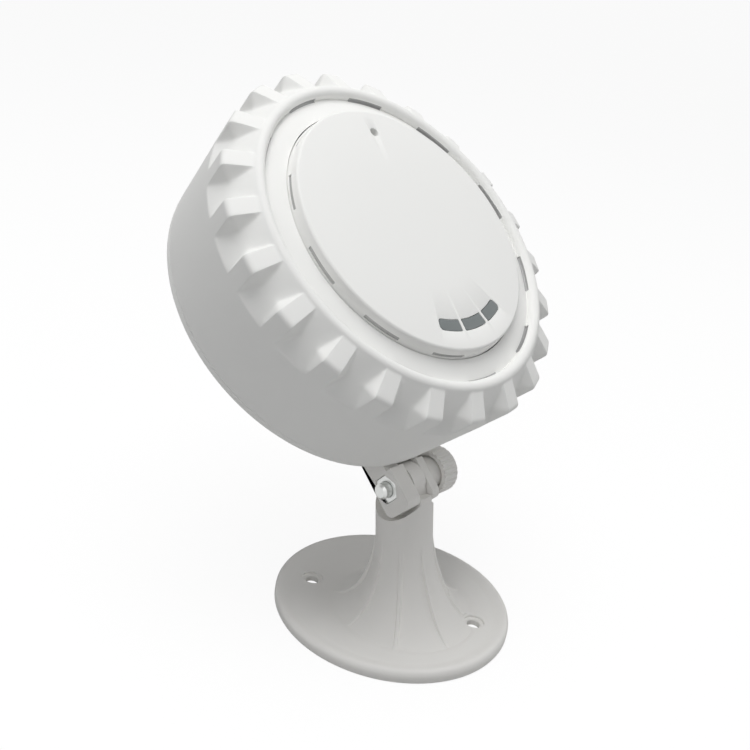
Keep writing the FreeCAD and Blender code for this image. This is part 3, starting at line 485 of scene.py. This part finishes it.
# --- materials -----------------------------------------------------------------------------
def moulded_group():
    """Colour, roughness and height of a fine spark-eroded moulding."""
    name = "moulded surface"
    if name in bpy.data.node_groups:
        return bpy.data.node_groups[name]
    tree = bpy.data.node_groups.new(name, "ShaderNodeTree")
    sockets_of(tree, "INPUT", ("Colour", "Color", (0.8, 0.8, 0.8, 1)), ("Roughness", "Float", 0.4),
               ("Grain scale", "Float", 2400.0), ("Cloud scale", "Float", 30.0), ("Variation", "Float", 0.05))
    sockets_of(tree, "OUTPUT", ("Colour", "Color"), ("Roughness", "Float"), ("Height", "Float"))
    source = tree.nodes.new("NodeGroupInput").outputs
    place = tree.nodes.new("ShaderNodeTexCoord").outputs["Object"]
    grain = fed(tree, "ShaderNodeTexNoise", {"Vector": place, "Scale": source["Grain scale"], "Detail": 3.0})
    clouds = fed(tree, "ShaderNodeTexNoise", {"Vector": place, "Scale": source["Cloud scale"], "Detail": 4.0})
    scaled = sum_of(tree, "MULTIPLY", sum_of(tree, "SUBTRACT", clouds, 0.5), source["Variation"])
    shade = sum_of(tree, "ADD", scaled, 1.0)
    tint = fed(tree, "ShaderNodeVectorMath", {0: source["Colour"], "Scale": shade}, operation="SCALE")
    rough = sum_of(tree, "MULTIPLY_ADD", grain, 0.10, source["Roughness"])
    result = tree.nodes.new("NodeGroupOutput").inputs
    for label, value in (("Colour", tint), ("Roughness", rough), ("Height", grain)):
        tree.links.new(value, result[label])
    return tree


def finish(name, colour, roughness, grain=2400.0, clouds=30.0, variation=0.05, bump=0.04,
           metallic=0.0, transmission=0.0, specular=0.5):
    """One material: a Principled shader fed by the moulded surface group."""
    if name in bpy.data.materials:
        return bpy.data.materials[name]
    material = bpy.data.materials.new(name)
    material.use_nodes = True
    nodes = material.node_tree.nodes
    shader = nodes["Principled BSDF"]
    surface = nodes.new("ShaderNodeGroup")
    surface.node_tree = moulded_group()
    for label, value in (("Colour", colour), ("Roughness", roughness), ("Grain scale", grain),
                         ("Cloud scale", clouds), ("Variation", variation)):
        surface.inputs[label].default_value = value
    relief = fed(material.node_tree, "ShaderNodeBump",
                 {"Strength": bump, "Distance": RELIEF, "Height": surface.outputs["Height"]})
    for label, value in (("Base Color", surface.outputs["Colour"]), ("Normal", relief),
                         ("Roughness", surface.outputs["Roughness"])):
        material.node_tree.links.new(value, shader.inputs[label])
    for label, value in (("Metallic", metallic), ("Transmission Weight", transmission),
                         ("Specular IOR Level", specular)):
        shader.inputs[label].default_value = value
    material.diffuse_color = colour
    return material


def finish_for(slot):
    """The material of one of the record's slots."""
    tints = bpy.context.scene.finish_colours
    table = {
        "housing_plastic": (tints.housing, 0.34, {}),
        "bracket_plastic": (tints.bracket, 0.30, {}),
        "zinc_steel": (tints.zinc, 0.16, {"grain": 900.0, "variation": 0.2, "bump": 0.08, "metallic": 1.0}),
        "black_rubber": ((0.02, 0.02, 0.02, 1), 0.7, {"bump": 0.1}),
        "grey_rubber": ((0.40, 0.40, 0.39, 1), 0.6, {"bump": 0.1}),
        "smoked_window": (tints.window, 0.5, {"variation": 0.6, "clouds": 160.0, "specular": 0.08}),
        "green_board": ((0.012, 0.10, 0.035, 1), 0.35, {"clouds": 300.0}),
        "led_package": ((0.75, 0.72, 0.5, 1), 0.25, {}),
        "clear_guide": ((0.9, 0.93, 0.94, 1), 0.08, {"transmission": 0.8}),
        "black_plastic": ((0.02, 0.02, 0.02, 1), 0.4, {}),
        "white_plastic": ((0.75, 0.75, 0.73, 1), 0.4, {}),
        "green_plastic": ((0.03, 0.22, 0.08, 1), 0.4, {}),
        "sensor_steel": ((0.5, 0.5, 0.48, 1), 0.3, {"metallic": 1.0}),
        "capacitor_sleeve": ((0.02, 0.025, 0.05, 1), 0.2, {}),
        # Near black, rough and without specular: painted shade inside the vent slots, darker than the steel mesh
        # itself.
        "steel_mesh": ((0.004, 0.0035, 0.003, 1), 0.9, {"specular": 0.0}),
    }
    colour_of, roughness, more = table[slot]
    return finish(slot, colour_of, roughness, **more)


# --- operators -----------------------------------------------------------------------------
class SENSOR_OT_nodes(bpy.types.Operator):
    """Gives every solid of the frame its finish"""
    bl_idname = "sensor.nodes"
    bl_label = "Finish the solids"

    def execute(self, context):
        for part in frame["record"]["subparts"]:
            obj = frame["nodes"][part["node"]]
            material = finish_for(part["material_slot"])
            if not obj.material_slots:
                obj.data.materials.append(material)
            for place in obj.material_slots:
                place.material = material
        return {"FINISHED"}


class SENSOR_OT_housing(bpy.types.Operator):
    """Builds the toothed shell of the head"""
    bl_idname = "sensor.housing"
    bl_label = "Housing"

    def execute(self, context):
        scene = context.scene
        s = scene.head_sizes
        t = scene.tooth_sizes
        c = scene.cap_sizes
        crest_z = s.depth - s.crest_below
        crest_out_z = s.depth - s.crest_out_below
        well_z = s.depth - s.well_below
        floor_z = s.depth - s.floor_below
        under = well_z - s.floor_t
        hole_r = c.radius + c.draft + CAP_GAP
        # Gap line and tooth line, paired point for point from the foot to the crest.
        slope = (s.drum_r - s.back_r) / (s.drum_top - s.rear)
        foot = (s.drum_r - slope * (s.drum_top - t.foot), t.foot)
        crest_out = (s.crest_out_r, crest_out_z)
        gap_line = [foot, (s.drum_r, s.drum_top)]
        gap_line += arc_points((s.drum_r, s.drum_top), (s.shoulder_r, s.shoulder_top), crest_out,
                               SHOULDER_STEPS)
        tip = (t.tip_r, s.depth - t.tip_below)
        down = Vector((foot[0] - tip[0], foot[1] - tip[1])).normalized()
        inward = Vector((crest_out[0] - tip[0], crest_out[1] - tip[1])).normalized()
        tip_start = (tip[0] + down.x * t.tip_round, tip[1] + down.y * t.tip_round)
        tip_end = (tip[0] + inward.x * t.tip_round, tip[1] + inward.y * t.tip_round)
        tooth_line = [foot] + bent(tip_start, tip, tip_end, TIP_STEPS) + [crest_out]
        rows = 34
        gap_points = along(gap_line, rows)
        tooth_points = along(tooth_line, rows)
        # Plain rows below and above the teeth, and the inside.
        below = [(s.back_r - REAR_EDGE, s.rear), (s.back_r, s.rear + REAR_EDGE)]
        below += along([below[-1], foot], DRUM_STEPS)[1:-1]
        crest = arc_points(crest_out, (s.crest_r, crest_z), (s.well_r + CREST_IN, crest_out_z), CREST_STEPS)
        slot_top = (s.well_r, well_z + s.slot_h)
        slot_in = (s.well_r - SLOT_INSET, well_z + SLOT_INSET * (floor_z - well_z) / (s.well_r - hole_r))
        well = [slot_top, (s.well_r, well_z), slot_in, (hole_r, floor_z)]
        cavity = [(hole_r, under), (s.well_r - SLOT_INSET, under), (s.well_r + SHELF_IN, under),
                  (s.well_r + CROWN_OUT, under),
                  (s.shoulder_r - s.wall - CROWN_IN, s.shoulder_top - CROWN_DOWN),
                  (s.drum_r - s.wall, s.drum_top), (s.back_r - s.wall, s.rear)]
        profile = below + gap_points + crest + well + cavity
        first_tooth = len(below)
        slot_row = first_tooth + len(gap_points) + len(crest)
        under_row = slot_row + len(well) + 1
        # Columns of one pair of teeth, closer together over the flanks.
        pitch = 2 * math.pi / t.teeth
        half = t.width / t.tip_r / 2
        flank = FLANK / t.tip_r
        offsets = [half * k / FACE_STEPS for k in range(FACE_STEPS)]
        offsets += [half + flank * k / FLANK_STEPS for k in range(-1, FLANK_STEPS + 1)]
        left = pitch / 2 - half - flank
        offsets += [half + flank + left * k / GAP_STEPS for k in range(1, GAP_STEPS)]
        half_columns = sorted(set(offsets))
        columns = []
        for centre in (-pitch / 2, pitch / 2):
            columns += [centre - o for o in half_columns] + [centre + o for o in half_columns]
        columns += [-pitch, 0.0, pitch, -s.slot_turn / 2, s.slot_turn / 2]
        columns.sort()
        kept = [columns[0]]
        for column in columns[1:]:
            if column - kept[-1] > SAME_TURN:
                kept.append(column)
        columns = kept
        low = min(range(len(columns)), key=lambda k: abs(columns[k] + s.slot_turn / 2))
        high = min(range(len(columns)), key=lambda k: abs(columns[k] - s.slot_turn / 2))
        vertices = []
        for column in columns:
            nearest = min(abs(column - pitch / 2), abs(column + pitch / 2))
            across = nearest * t.tip_r
            angle = column - math.pi / 2
            for k, (radius, height) in enumerate(profile):
                row = k - first_tooth
                if 0 <= row <= rows:
                    full = math.dist(gap_points[row], tooth_points[row])
                    past = soft_above(across - t.width / 2, 0.0, t.edge_round) - t.edge_round * EDGE_SHARE
                    lost = t.steep * past
                    raised = soft_above(full - max(lost, 0.0), 0.0, min(t.foot_round, full))
                    share = min(raised / full, 1.0) if full > NO_TOOTH else 0.0
                    if across > t.width / 2 + full / t.steep + FLANK_CLEAR:
                        share = 0.0
                    radius += share * (tooth_points[row][0] - gap_points[row][0])
                    height += share * (tooth_points[row][1] - gap_points[row][1])
                vertices.append((radius * math.cos(angle), radius * math.sin(angle), height))
        rows_all = len(profile)
        opened = (slot_row, slot_row + 1, under_row)
        faces = column_faces(len(columns), rows_all, lambda i, k: low <= i < high and k in opened)
        # Walls of the slot.
        def at(column, row):
            return column * rows_all + row
        shelf = {}
        for i in range(low, high + 1):
            shelf[i] = len(vertices)
            vertices += column_of([(s.well_r + SHELF_IN, slot_top[1])], columns[i] - math.pi / 2)
        for i in range(low, high):
            faces.append((at(i, slot_row), at(i + 1, slot_row), shelf[i + 1], shelf[i]))
            faces.append((shelf[i], shelf[i + 1], at(i + 1, under_row + 1), at(i, under_row + 1)))
            faces.append((at(i, slot_row + 2), at(i, under_row), at(i + 1, under_row),
                          at(i + 1, slot_row + 2)))
        for i in (low, high):
            faces.append((at(i, slot_row), at(i, slot_row + 1), at(i, slot_row + 2), at(i, under_row),
                          at(i, under_row + 1), shelf[i]))
        obj = new_object("housing_skin", vertices, faces)
        repeat_round(obj, t.teeth // 2, "housing_plastic")
        outward(obj)
        obj.data.transform(head_place(scene))
        smooth(obj, SHARP)
        dress(obj, "housing_plastic", "head", "housing_shell")
        return {"FINISHED"}


class SENSOR_OT_cap(bpy.types.Operator):
    """Builds the front cap with its vent slots, window openings and sensing hole"""
    bl_idname = "sensor.cap"
    bl_label = "Front cap"

    def execute(self, context):
        scene = context.scene
        s = scene.head_sizes
        c = scene.cap_sizes
        floor_z = s.depth - s.floor_below
        under = s.depth - s.well_below - s.floor_t
        side_r = c.radius + c.draft
        inner_r = c.radius - c.wall
        low = floor_z + CAP_GAP
        corner = c.rounding * (1 - math.sqrt(0.5))
        top = [(0.0, s.depth), (c.radius * 0.5, s.depth), (c.radius - c.rounding, s.depth)]
        top += arc_points(top[-1], (c.radius - corner, s.depth - corner), (c.radius, s.depth - c.rounding),
                          EDGE_STEPS)
        side = [(c.radius + c.draft * DRAFT_HIGH, low + c.slot_h), (c.radius + c.draft * DRAFT_LOW, low),
                (side_r, floor_z), (side_r, under), (inner_r, under), (inner_r, low),
                (inner_r, low + c.slot_h), (inner_r, s.depth - c.top), (0.0, s.depth - c.top)]
        profile = top + side
        open_row = len(top)
        back_row = open_row + 5
        step = 2 * math.pi / c.slots
        columns = [-step / 2 + step * k / CAP_COLUMNS for k in range(CAP_COLUMNS + 1)]
        columns += [-c.slot_turn / 2, c.slot_turn / 2]
        columns.sort()
        low_c = columns.index(-c.slot_turn / 2)
        high_c = columns.index(c.slot_turn / 2)
        vertices = []
        rows = len(profile)
        for column in columns:
            vertices += column_of(profile, column + math.pi / 2)
        faces = column_faces(len(columns), rows, lambda i, k: k == rows - 1
                             or low_c <= i < high_c and k in (open_row, back_row))
        for i in range(low_c, high_c):
            a = i * rows
            b = (i + 1) * rows
            faces.append((a + open_row, b + open_row, b + back_row + 1, a + back_row + 1))
            faces.append((a + open_row + 1, a + back_row, b + back_row, b + open_row + 1))
        for i in (low_c, high_c):
            a = i * rows
            faces.append((a + open_row, a + open_row + 1, a + back_row, a + back_row + 1))
        obj = new_object("front_cap_skin", vertices, faces)
        repeat_round(obj, c.slots, "housing_plastic")
        outward(obj)
        cut_low = s.depth - c.top - BEYOND
        for index in range(3):
            outline = window_outline(c, index, WINDOW_GAP)
            cut(obj, flared_prism("window_cut", outline, cut_low, s.depth, WINDOW_FLARE))
        x = c.hole_place * math.cos(c.hole_turn)
        y = c.hole_place * math.sin(c.hole_turn)
        turns = [k * 2 * math.pi / HOLE_STEPS for k in range(HOLE_STEPS)]
        ring = [(x + c.hole_r * math.cos(angle), y + c.hole_r * math.sin(angle)) for angle in turns]
        cut(obj, flared_prism("hole_cut", ring, cut_low, s.depth, HOLE_FLARE))
        obj.data.transform(head_place(scene))
        smooth(obj, SHARP)
        dress(obj, "housing_plastic", "head", "front_cap")
        return {"FINISHED"}


def window_outline(c, index, grow):
    """Plan of one status window; the strip's two ends are rounded."""
    total = sum(WINDOW_TURNS) + 2 * c.window_gap
    start = c.window_turn - total / 2 + sum(WINDOW_TURNS[:index]) + index * c.window_gap
    end = start + WINDOW_TURNS[index]
    more = grow / c.window_r
    inner = c.window_r - c.window_w / 2 - grow
    outer = c.window_r + c.window_w / 2 + grow
    corners = [(inner, start - more, index == 0), (outer, start - more, index == 0),
               (outer, end + more, index == 2), (inner, end + more, index == 2)]
    points = []
    for k in range(4):
        radius, angle, rounded = corners[k]
        here = polar(radius, angle)
        curve = c.window_round + grow if rounded else CORNER
        aside = polar(radius, angle + (STEP_ASIDE if k < 2 else -STEP_ASIDE))
        before = polar(*corners[k - 1][:2]) if k % 2 else aside
        after = aside if k % 2 else polar(*corners[(k + 1) % 4][:2])
        b = toward(here, after, curve)
        points += bent(toward(here, before, curve), here, b, EDGE_STEPS)
        if k % 2:
            other = corners[(k + 1) % 4]
            a_angle = math.atan2(b[1], b[0])
            far = polar(other[0], other[1])
            f_curve = (c.window_round + grow if other[2] else CORNER) / radius
            direction = 1 if k == 1 else -1
            last = math.atan2(far[1], far[0]) - direction * f_curve
            for i in range(1, WINDOW_STEPS):
                points.append(polar(radius, a_angle + (last - a_angle) * i / WINDOW_STEPS))
    return points


def polar(radius, angle):
    return (radius * math.cos(angle), radius * math.sin(angle))


def toward(a, b, length):
    gap = math.dist(a, b)
    return tuple(p + (q - p) * length / gap for p, q in zip(a, b))


def flared_prism(name, outline, low, high, flare):
    """Cutter with the outline's plan, opening out round the face at its top."""
    n = len(outline)
    signed = sum(outline[k - 1][0] * outline[k][1] - outline[k][0] * outline[k - 1][1] for k in range(n))
    turn_way = 1 if signed > 0 else -1
    normals = []
    for k in range(n):
        before = Vector(outline[k - 1])
        after = Vector(outline[(k + 1) % n])
        along_edge = (after - before).normalized()
        normals.append(Vector((along_edge.y, -along_edge.x)) * turn_way)
    steps = [(low, 0.0), (high - flare, 0.0), (high - flare * 0.4, flare * 0.25), (high, flare),
             (high + BEYOND, flare + BEYOND)]
    return stacked(name, [[(point[0] + normal.x * spread, point[1] + normal.y * spread, height)
                           for point, normal in zip(outline, normals)] for height, spread in steps])


def slot_shade_block(node, section, centre, width):
    """Stands in for a mesh: one near-black block of the (radius, height) section in each slot round the head,
    painted shade filling the slot.
    """
    scene = bpy.context.scene
    turns = [centre + width * SLOT_SHADE_SHARE * (i / SLOT_SHADE_STEPS - 0.5) for i in range(SLOT_SHADE_STEPS + 1)]
    obj = stacked(node + "_painted_shade", [column_of(section, angle) for angle in turns])
    repeat_round(obj, scene.cap_sizes.slots, "steel_mesh")
    outward(obj)
    obj.data.transform(head_place(scene))
    dress(obj, "steel_mesh", "head", node)


class SENSOR_OT_vents(bpy.types.Operator):
    """Fills the two rings of vent slots with near-black blocks, painted shade in place of the mesh behind them"""
    bl_idname = "sensor.vents"
    bl_label = "Vent slot shade"

    def execute(self, context):
        s = context.scene.head_sizes
        c = context.scene.cap_sizes
        low = s.depth - s.floor_below + CAP_GAP + SLOT_SHADE_GAP
        high = low + c.slot_h - 2 * SLOT_SHADE_GAP
        behind = c.radius - c.wall - SLOT_SHADE_BACK
        section = [(behind, low), (c.radius + c.draft * 0.3, low), (c.radius + c.draft * 0.1, high),
                   (behind, high)]
        # Painted shade: a near-black block in each slot of the cap's side.
        slot_shade_block("cap_mesh", section, math.pi / 2, c.slot_turn)
        well = s.depth - s.well_below
        low = well - s.floor_t + SLOT_SHADE_GAP
        high = well + s.slot_h - SLOT_SHADE_GAP
        section = [(s.well_r - SLOT_SHADE_IN, low), (s.well_r + SLOT_SHADE_OUT, low), (s.well_r + SLOT_SHADE_OUT, high),
                   (s.well_r + SLOT_SHADE_LIP, high), (s.well_r + SLOT_SHADE_LIP, well - 2 * SLOT_SHADE_GAP),
                   (s.well_r - SLOT_SHADE_IN, well - SLOT_SHADE_GAP)]
        slot_shade_block("floor_mesh", section, -math.pi / 2, s.slot_turn)
        return {"FINISHED"}


class SENSOR_OT_windows(bpy.types.Operator):
    """Builds the three smoked status windows"""
    bl_idname = "sensor.windows"
    bl_label = "Status windows"

    def execute(self, context):
        scene = context.scene
        s = scene.head_sizes
        c = scene.cap_sizes
        for index, side in enumerate(("left", "centre", "right")):
            outline = window_outline(c, index, -LENS_GAP)
            centre = [sum(p[axis] for p in outline) / len(outline) for axis in (0, 1)]
            steps = [(s.depth - c.top, 0.0)]
            steps += [(s.depth - below * MM, inset * MM) for below, inset in LENS_EDGE]
            obj = stacked("window_" + side + "_lens", [[(*toward(p, centre, inset), height) for p in outline]
                                                       for height, inset in steps])
            obj.data.transform(head_place(scene))
            smooth(obj, LENS_SHARP)
            dress(obj, "smoked_window", "head", "status_window_" + side)
        return {"FINISHED"}


def rake_place(b):
    """Column frame to world frame."""
    return Matrix.Translation((0, b.foot_y, 0)) @ Matrix.Rotation(-b.rake, 4, "X")


def flare_profile(b, part):
    """Radius and height of the flare; part runs from 0 at the column to 1 at the plate."""
    swing = math.pi / 2 * part
    radius = b.flare_r - (b.flare_r - b.column_r) * math.cos(swing)
    return radius, b.flare_top - (b.flare_top - b.dish_top + b.flare_sink) * math.sin(swing)


def leaned(b, x, y, z):
    """Moves a point of the upright bracket to where the raked column carries it."""
    drop = min(max((b.flare_top - z) / (b.flare_top - b.dish_top + b.flare_sink), 0.0), 1.0)
    lean = b.rake * (1 - drop * drop)
    out = min(max((math.hypot(x, y) - b.flare_r) / (b.dish_r - b.flare_r), 0.0), 1.0)
    shift = (1 - out) * (b.foot_y + z * math.tan(b.rake))
    return (x, y * math.cos(lean) + shift, z - y * math.sin(lean))


class SENSOR_OT_bracket(bpy.types.Operator):
    """Builds the plate, the ribbed flare, the raked column and its tongue"""
    bl_idname = "sensor.bracket"
    bl_label = "Bracket"

    def execute(self, context):
        b = context.scene.bracket_sizes
        corner = b.rim_round * (1 - math.sqrt(0.5))
        profile = [(b.recess_r, 0.0), (b.plate_r - b.rim_round / 2, 0.0),
                   (b.plate_r - b.rim_round / 6, b.rim_round / 6),
                   (b.plate_r, b.rim_round / 2), (b.plate_r, b.rim_top - b.rim_round)]
        rim_end = (b.plate_r - b.rim_round, b.rim_top)
        profile += arc_points(profile[-1], (b.plate_r - corner, b.rim_top - corner), rim_end, RIM_STEPS)
        for k in range(1, EASE_STEPS + 1):
            u = k / EASE_STEPS
            ease = u * u * (3 - 2 * u)
            profile.append((rim_end[0] + (b.dish_r - rim_end[0]) * u,
                            b.rim_top + (b.dish_top - b.rim_top) * ease))
        profile += [(b.dish_r + (b.flare_r - b.dish_r) * k / PLAIN_STEPS, b.dish_top)
                    for k in range(1, PLAIN_STEPS)]
        first = len(profile)
        for k in range(FLARE_STEPS + 1):
            radius, height = flare_profile(b, 1 - k / FLARE_STEPS)
            profile.append((radius, max(height, b.dish_top) if k == 0 else height))
        end = b.column_top * math.cos(b.rake)
        profile += [(b.column_r, b.flare_top + (end - b.flare_top) * k / PLAIN_STEPS)
                    for k in range(1, PLAIN_STEPS + 1)]
        profile += [(0.0, end), (0.0, b.core_h), (b.core_tip_r, b.core_h), (b.core_r, b.recess_h),
                    (b.recess_r, b.recess_h)]
        half = math.pi / b.ribs
        fine = math.radians(0.4)
        offsets = [k * fine for k in range(12)]
        offsets += [offsets[-1] + (half - offsets[-1]) * (k / 7) ** 1.4 for k in range(1, 8)]
        columns = [-o for o in reversed(offsets[1:])] + offsets
        rows = len(profile)
        vertices = []
        for column in columns:
            for k, (radius, height) in enumerate(profile):
                part = 1 - (k - first) / FLARE_STEPS
                if 0.0 < part < 1.0:
                    swing = math.pi / 2 * part
                    across = abs(radius * math.sin(column))
                    share = min(max((b.rib_w / 2 + b.rib_slope - across) / b.rib_slope, 0.0), 1.0)
                    swell = b.rib_h * math.sin(math.pi * part ** 0.9) * share * share * (3 - 2 * share)
                    radius += swell * math.cos(swing)
                    height += swell * math.sin(swing)
                vertices.append((radius * math.cos(column), radius * math.sin(column), height))
        faces = column_faces(len(columns), rows, lambda i, k: max(profile[k][0], profile[(k + 1) % rows][0])
                             < ON_AXIS)
        obj = new_object("bracket_skin", vertices, faces)
        repeat_round(obj, b.ribs, "bracket_plastic")
        outward(obj)
        obj.data.transform(Matrix.Rotation(b.rib_turn, 4, "Z"))
        for vertex in obj.data.vertices:
            vertex.co = leaned(b, *vertex.co)
        column = rake_place(b)
        pin = column @ Matrix.Translation((0, 0, b.pivot_h))
        sideways = Matrix.Rotation(math.pi / 2, 4, "Y")
        far = 3 * b.column_r
        seats = [rod("seat", b.seat_r, low, high, 2 * ROUND_STEPS, pin @ sideways)
                 for low, high in ((b.tongue_t / 2, far), (-far, -b.tongue_t / 2))]
        cut(obj, merged(seats))
        cut(obj, tongue(b, column), "UNION")
        places = [Matrix.Rotation(b.holes_turn + half_turn, 4, "Z") @ Matrix.Translation((b.holes_r, 0, 0))
                  for half_turn in (0.0, math.pi)]
        bosses = [rod("boss", b.boss_r, 0.0, b.recess_h * 1.5, ROUND_STEPS, place) for place in places]
        cut(obj, merged(bosses), "UNION")
        seat = b.dish_top - b.sink_h
        flare = SEAT_FLARE
        drill = [(0.0, -BEYOND), (b.hole_r, -BEYOND), (b.hole_r, seat - flare), (b.hole_r + flare, seat),
                 (b.sink_r, seat + flare / 2), (b.sink_r, b.dish_top - flare),
                 (b.sink_r + flare * 0.3, b.dish_top - flare * 0.3),
                 (b.sink_r + flare, b.dish_top), (b.sink_r + 2 * flare, b.dish_top + flare),
                 (b.sink_r + 2 * flare, b.flare_top), (0.0, b.flare_top)]
        drills = [lathe("drill", drill, ROUND_STEPS, place) for place in places]
        drills.append(rod("bore", b.bore_r, -b.tongue_t, b.tongue_t, ROUND_STEPS, pin @ sideways))
        cut(obj, merged(drills))
        smooth(obj, BRACKET_SHARP)
        dress(obj, "bracket_plastic", "bracket", "bracket_base")
        return {"FINISHED"}


def tongue(b, place):
    """Flat tongue with a round end, standing out of the column."""
    low = b.pivot_h - b.seat_r - TONGUE_SINK
    outline = [(-b.tongue_r, low), (b.tongue_r, low)]
    outline += [(b.tongue_r * math.cos(math.pi * k / 40), b.pivot_h + b.tongue_r * math.sin(math.pi * k / 40))
                for k in range(41)]
    sides = (-b.tongue_t / 2, b.tongue_t / 2)
    return stacked("tongue", [[(x, y, z) for y, z in outline] for x in sides], place)


def merged(objects):
    """The first object, with the others' meshes added to it."""
    mesh = bmesh.new()
    for obj in objects:
        mesh.from_mesh(obj.data)
    mesh.to_mesh(objects[0].data)
    mesh.free()
    for obj in objects[1:]:
        bpy.data.objects.remove(obj)
    return objects[0]


class SENSOR_OT_clamp(bpy.types.Operator):
    """Rounds the arm, the knob, the nut and the back cover"""
    bl_idname = "sensor.clamp"
    bl_label = "Clamp and back"

    def execute(self, context):
        slots = {part["node"]: part["material_slot"] for part in frame["record"]["subparts"]}
        for node, body, width in ROUNDED:
            source = frame["nodes"][node]
            mesh = bmesh.new()
            mesh.from_mesh(source.data)
            bmesh.ops.remove_doubles(mesh, verts=mesh.verts, dist=MERGE)
            bmesh.ops.dissolve_limit(mesh, angle_limit=math.radians(FLAT_WITHIN), verts=mesh.verts,
                                     edges=mesh.edges)
            data = bpy.data.meshes.new(node + "_skin")
            mesh.to_mesh(data)
            mesh.free()
            data.transform(source.matrix_world)
            obj = bpy.data.objects.new(node + "_skin", data)
            context.scene.collection.objects.link(obj)
            modified(obj, "BEVEL", width=width, segments=3, limit_method="ANGLE",
                     angle_limit=math.radians(BEVEL_FROM), use_clamp_overlap=True)
            smooth(obj, BRACKET_SHARP)
            dress(obj, slots[node], body, node)
        return {"FINISHED"}


class SENSOR_OT_stage(bpy.types.Operator):
    """Sets up the floor, the lights, the world and the camera"""
    bl_idname = "sensor.stage"
    bl_label = "Stage"

    def execute(self, context):
        scene = context.scene
        s = scene.stage_sizes
        corners = [(x * FLOOR_HALF, y * FLOOR_HALF, 0) for x, y in ((-1, -1), (1, -1), (1, 1), (-1, 1))]
        floor = new_object("studio_floor", corners, [(0, 1, 2, 3)])
        material = bpy.data.materials.new("studio_floor")
        material.use_nodes = True
        shader = material.node_tree.nodes["Principled BSDF"]
        shader.inputs["Base Color"].default_value = scene.finish_colours.floor
        shader.inputs["Roughness"].default_value = 0.9
        glow = fed(material.node_tree, "ShaderNodeEmission", {"Strength": s.floor_glow})
        camera_mix(material.node_tree, "Material Output", shader.outputs[0], glow, s.floor_white)
        floor.data.materials.append(material)
        world = bpy.data.worlds.new("studio")
        world.use_nodes = True
        ambient = world.node_tree.nodes["Background"]
        ambient.inputs["Color"].default_value = (0.97, 0.98, 1.0, 1.0)
        ambient.inputs["Strength"].default_value = s.ambient
        backdrop = fed(world.node_tree, "ShaderNodeBackground", {"Color": (1, 1, 1, 1), "Strength": 1.0})
        camera_mix(world.node_tree, "World Output", ambient.outputs[0], backdrop, 1.0)
        scene.world = world
        aim = Vector(s.aim)
        for name, place, across, power in (
                ("top_softbox", (-0.10, 0.05, 0.85), 0.6, s.top_power),
                ("left_softbox", (-0.75, -0.25, 0.55), 0.4, s.left_power),
                ("right_softbox", (0.65, -0.55, 0.35), 0.5, s.right_power)):
            lamp = bpy.data.lights.new(name, "AREA")
            lamp.shape = "SQUARE"
            lamp.size = across
            lamp.energy = power
            obj = bpy.data.objects.new(name, lamp)
            obj.location = place
            obj.rotation_euler = (aim - Vector(place)).to_track_quat("-Z", "Y").to_euler()
            scene.collection.objects.link(obj)
        camera = bpy.data.cameras.new("camera")
        camera.sensor_width = 36.0
        camera.lens = s.lens
        obj = bpy.data.objects.new("camera", camera)
        scene.collection.objects.link(obj)
        level = s.distance * math.cos(s.elevation)
        place = aim + Vector((level * math.cos(s.azimuth), level * math.sin(s.azimuth),
                              s.distance * math.sin(s.elevation)))
        look = (aim - place).to_track_quat("-Z", "Y").to_matrix().to_4x4()
        obj.matrix_world = Matrix.Translation(place) @ look @ Matrix.Rotation(s.roll, 4, "Z")
        scene.camera = obj
        scene.view_settings.view_transform = "Standard"
        return {"FINISHED"}


def camera_mix(tree, output, hidden, seen, share):
    """Shows the seen shader to the camera, in mirrors and through glass, and the hidden one to the rest."""
    path = tree.nodes.new("ShaderNodeLightPath").outputs
    either = sum_of(tree, "MAXIMUM", path["Is Camera Ray"], path["Is Glossy Ray"])
    every = sum_of(tree, "MAXIMUM", either, path["Is Transmission Ray"])
    share_seen = sum_of(tree, "MULTIPLY", every, share)
    mix = fed(tree, "ShaderNodeMixShader", {"Fac": share_seen, 1: hidden, 2: seen})
    tree.links.new(mix, tree.nodes[output].inputs["Surface"])


class SENSOR_PT_panel(bpy.types.Panel):
    """Lists the sizes, the colours and the steps"""
    bl_label = "Swivel air sensor"
    bl_idname = "SENSOR_PT_panel"
    bl_space_type = "VIEW_3D"
    bl_region_type = "UI"
    bl_category = "Sensor"

    def draw(self, context):
        for name in GROUPS:
            group = getattr(context.scene, name)
            box = self.layout.box()
            for key in group.__annotations__:
                box.prop(group, key)
        for operator in STEPS:
            self.layout.operator(operator.bl_idname)


GROUPS = {
    "head_sizes": HeadSizes,
    "tooth_sizes": ToothSizes,
    "cap_sizes": CapSizes,
    "bracket_sizes": BracketSizes,
    "finish_colours": FinishColours,
    "stage_sizes": StageSizes,
}
STEPS = (
    SENSOR_OT_nodes,
    SENSOR_OT_housing,
    SENSOR_OT_cap,
    SENSOR_OT_vents,
    SENSOR_OT_windows,
    SENSOR_OT_bracket,
    SENSOR_OT_clamp,
    SENSOR_OT_stage,
)


def register():
    for group in GROUPS.values():
        bpy.utils.register_class(group)
    for operator in STEPS:
        bpy.utils.register_class(operator)
    bpy.utils.register_class(SENSOR_PT_panel)
    for name, group in GROUPS.items():
        setattr(bpy.types.Scene, name, PointerProperty(type=group))


def unregister():
    for name in GROUPS:
        delattr(bpy.types.Scene, name)
    bpy.utils.unregister_class(SENSOR_PT_panel)
    for operator in reversed(STEPS):
        bpy.utils.unregister_class(operator)
    for group in reversed(list(GROUPS.values())):
        bpy.utils.unregister_class(group)


def main():
    register()
    for operator in STEPS:
        family, name = operator.bl_idname.split(".")
        getattr(getattr(bpy.ops, family), name)()


if __name__ == "__main__":
    main()
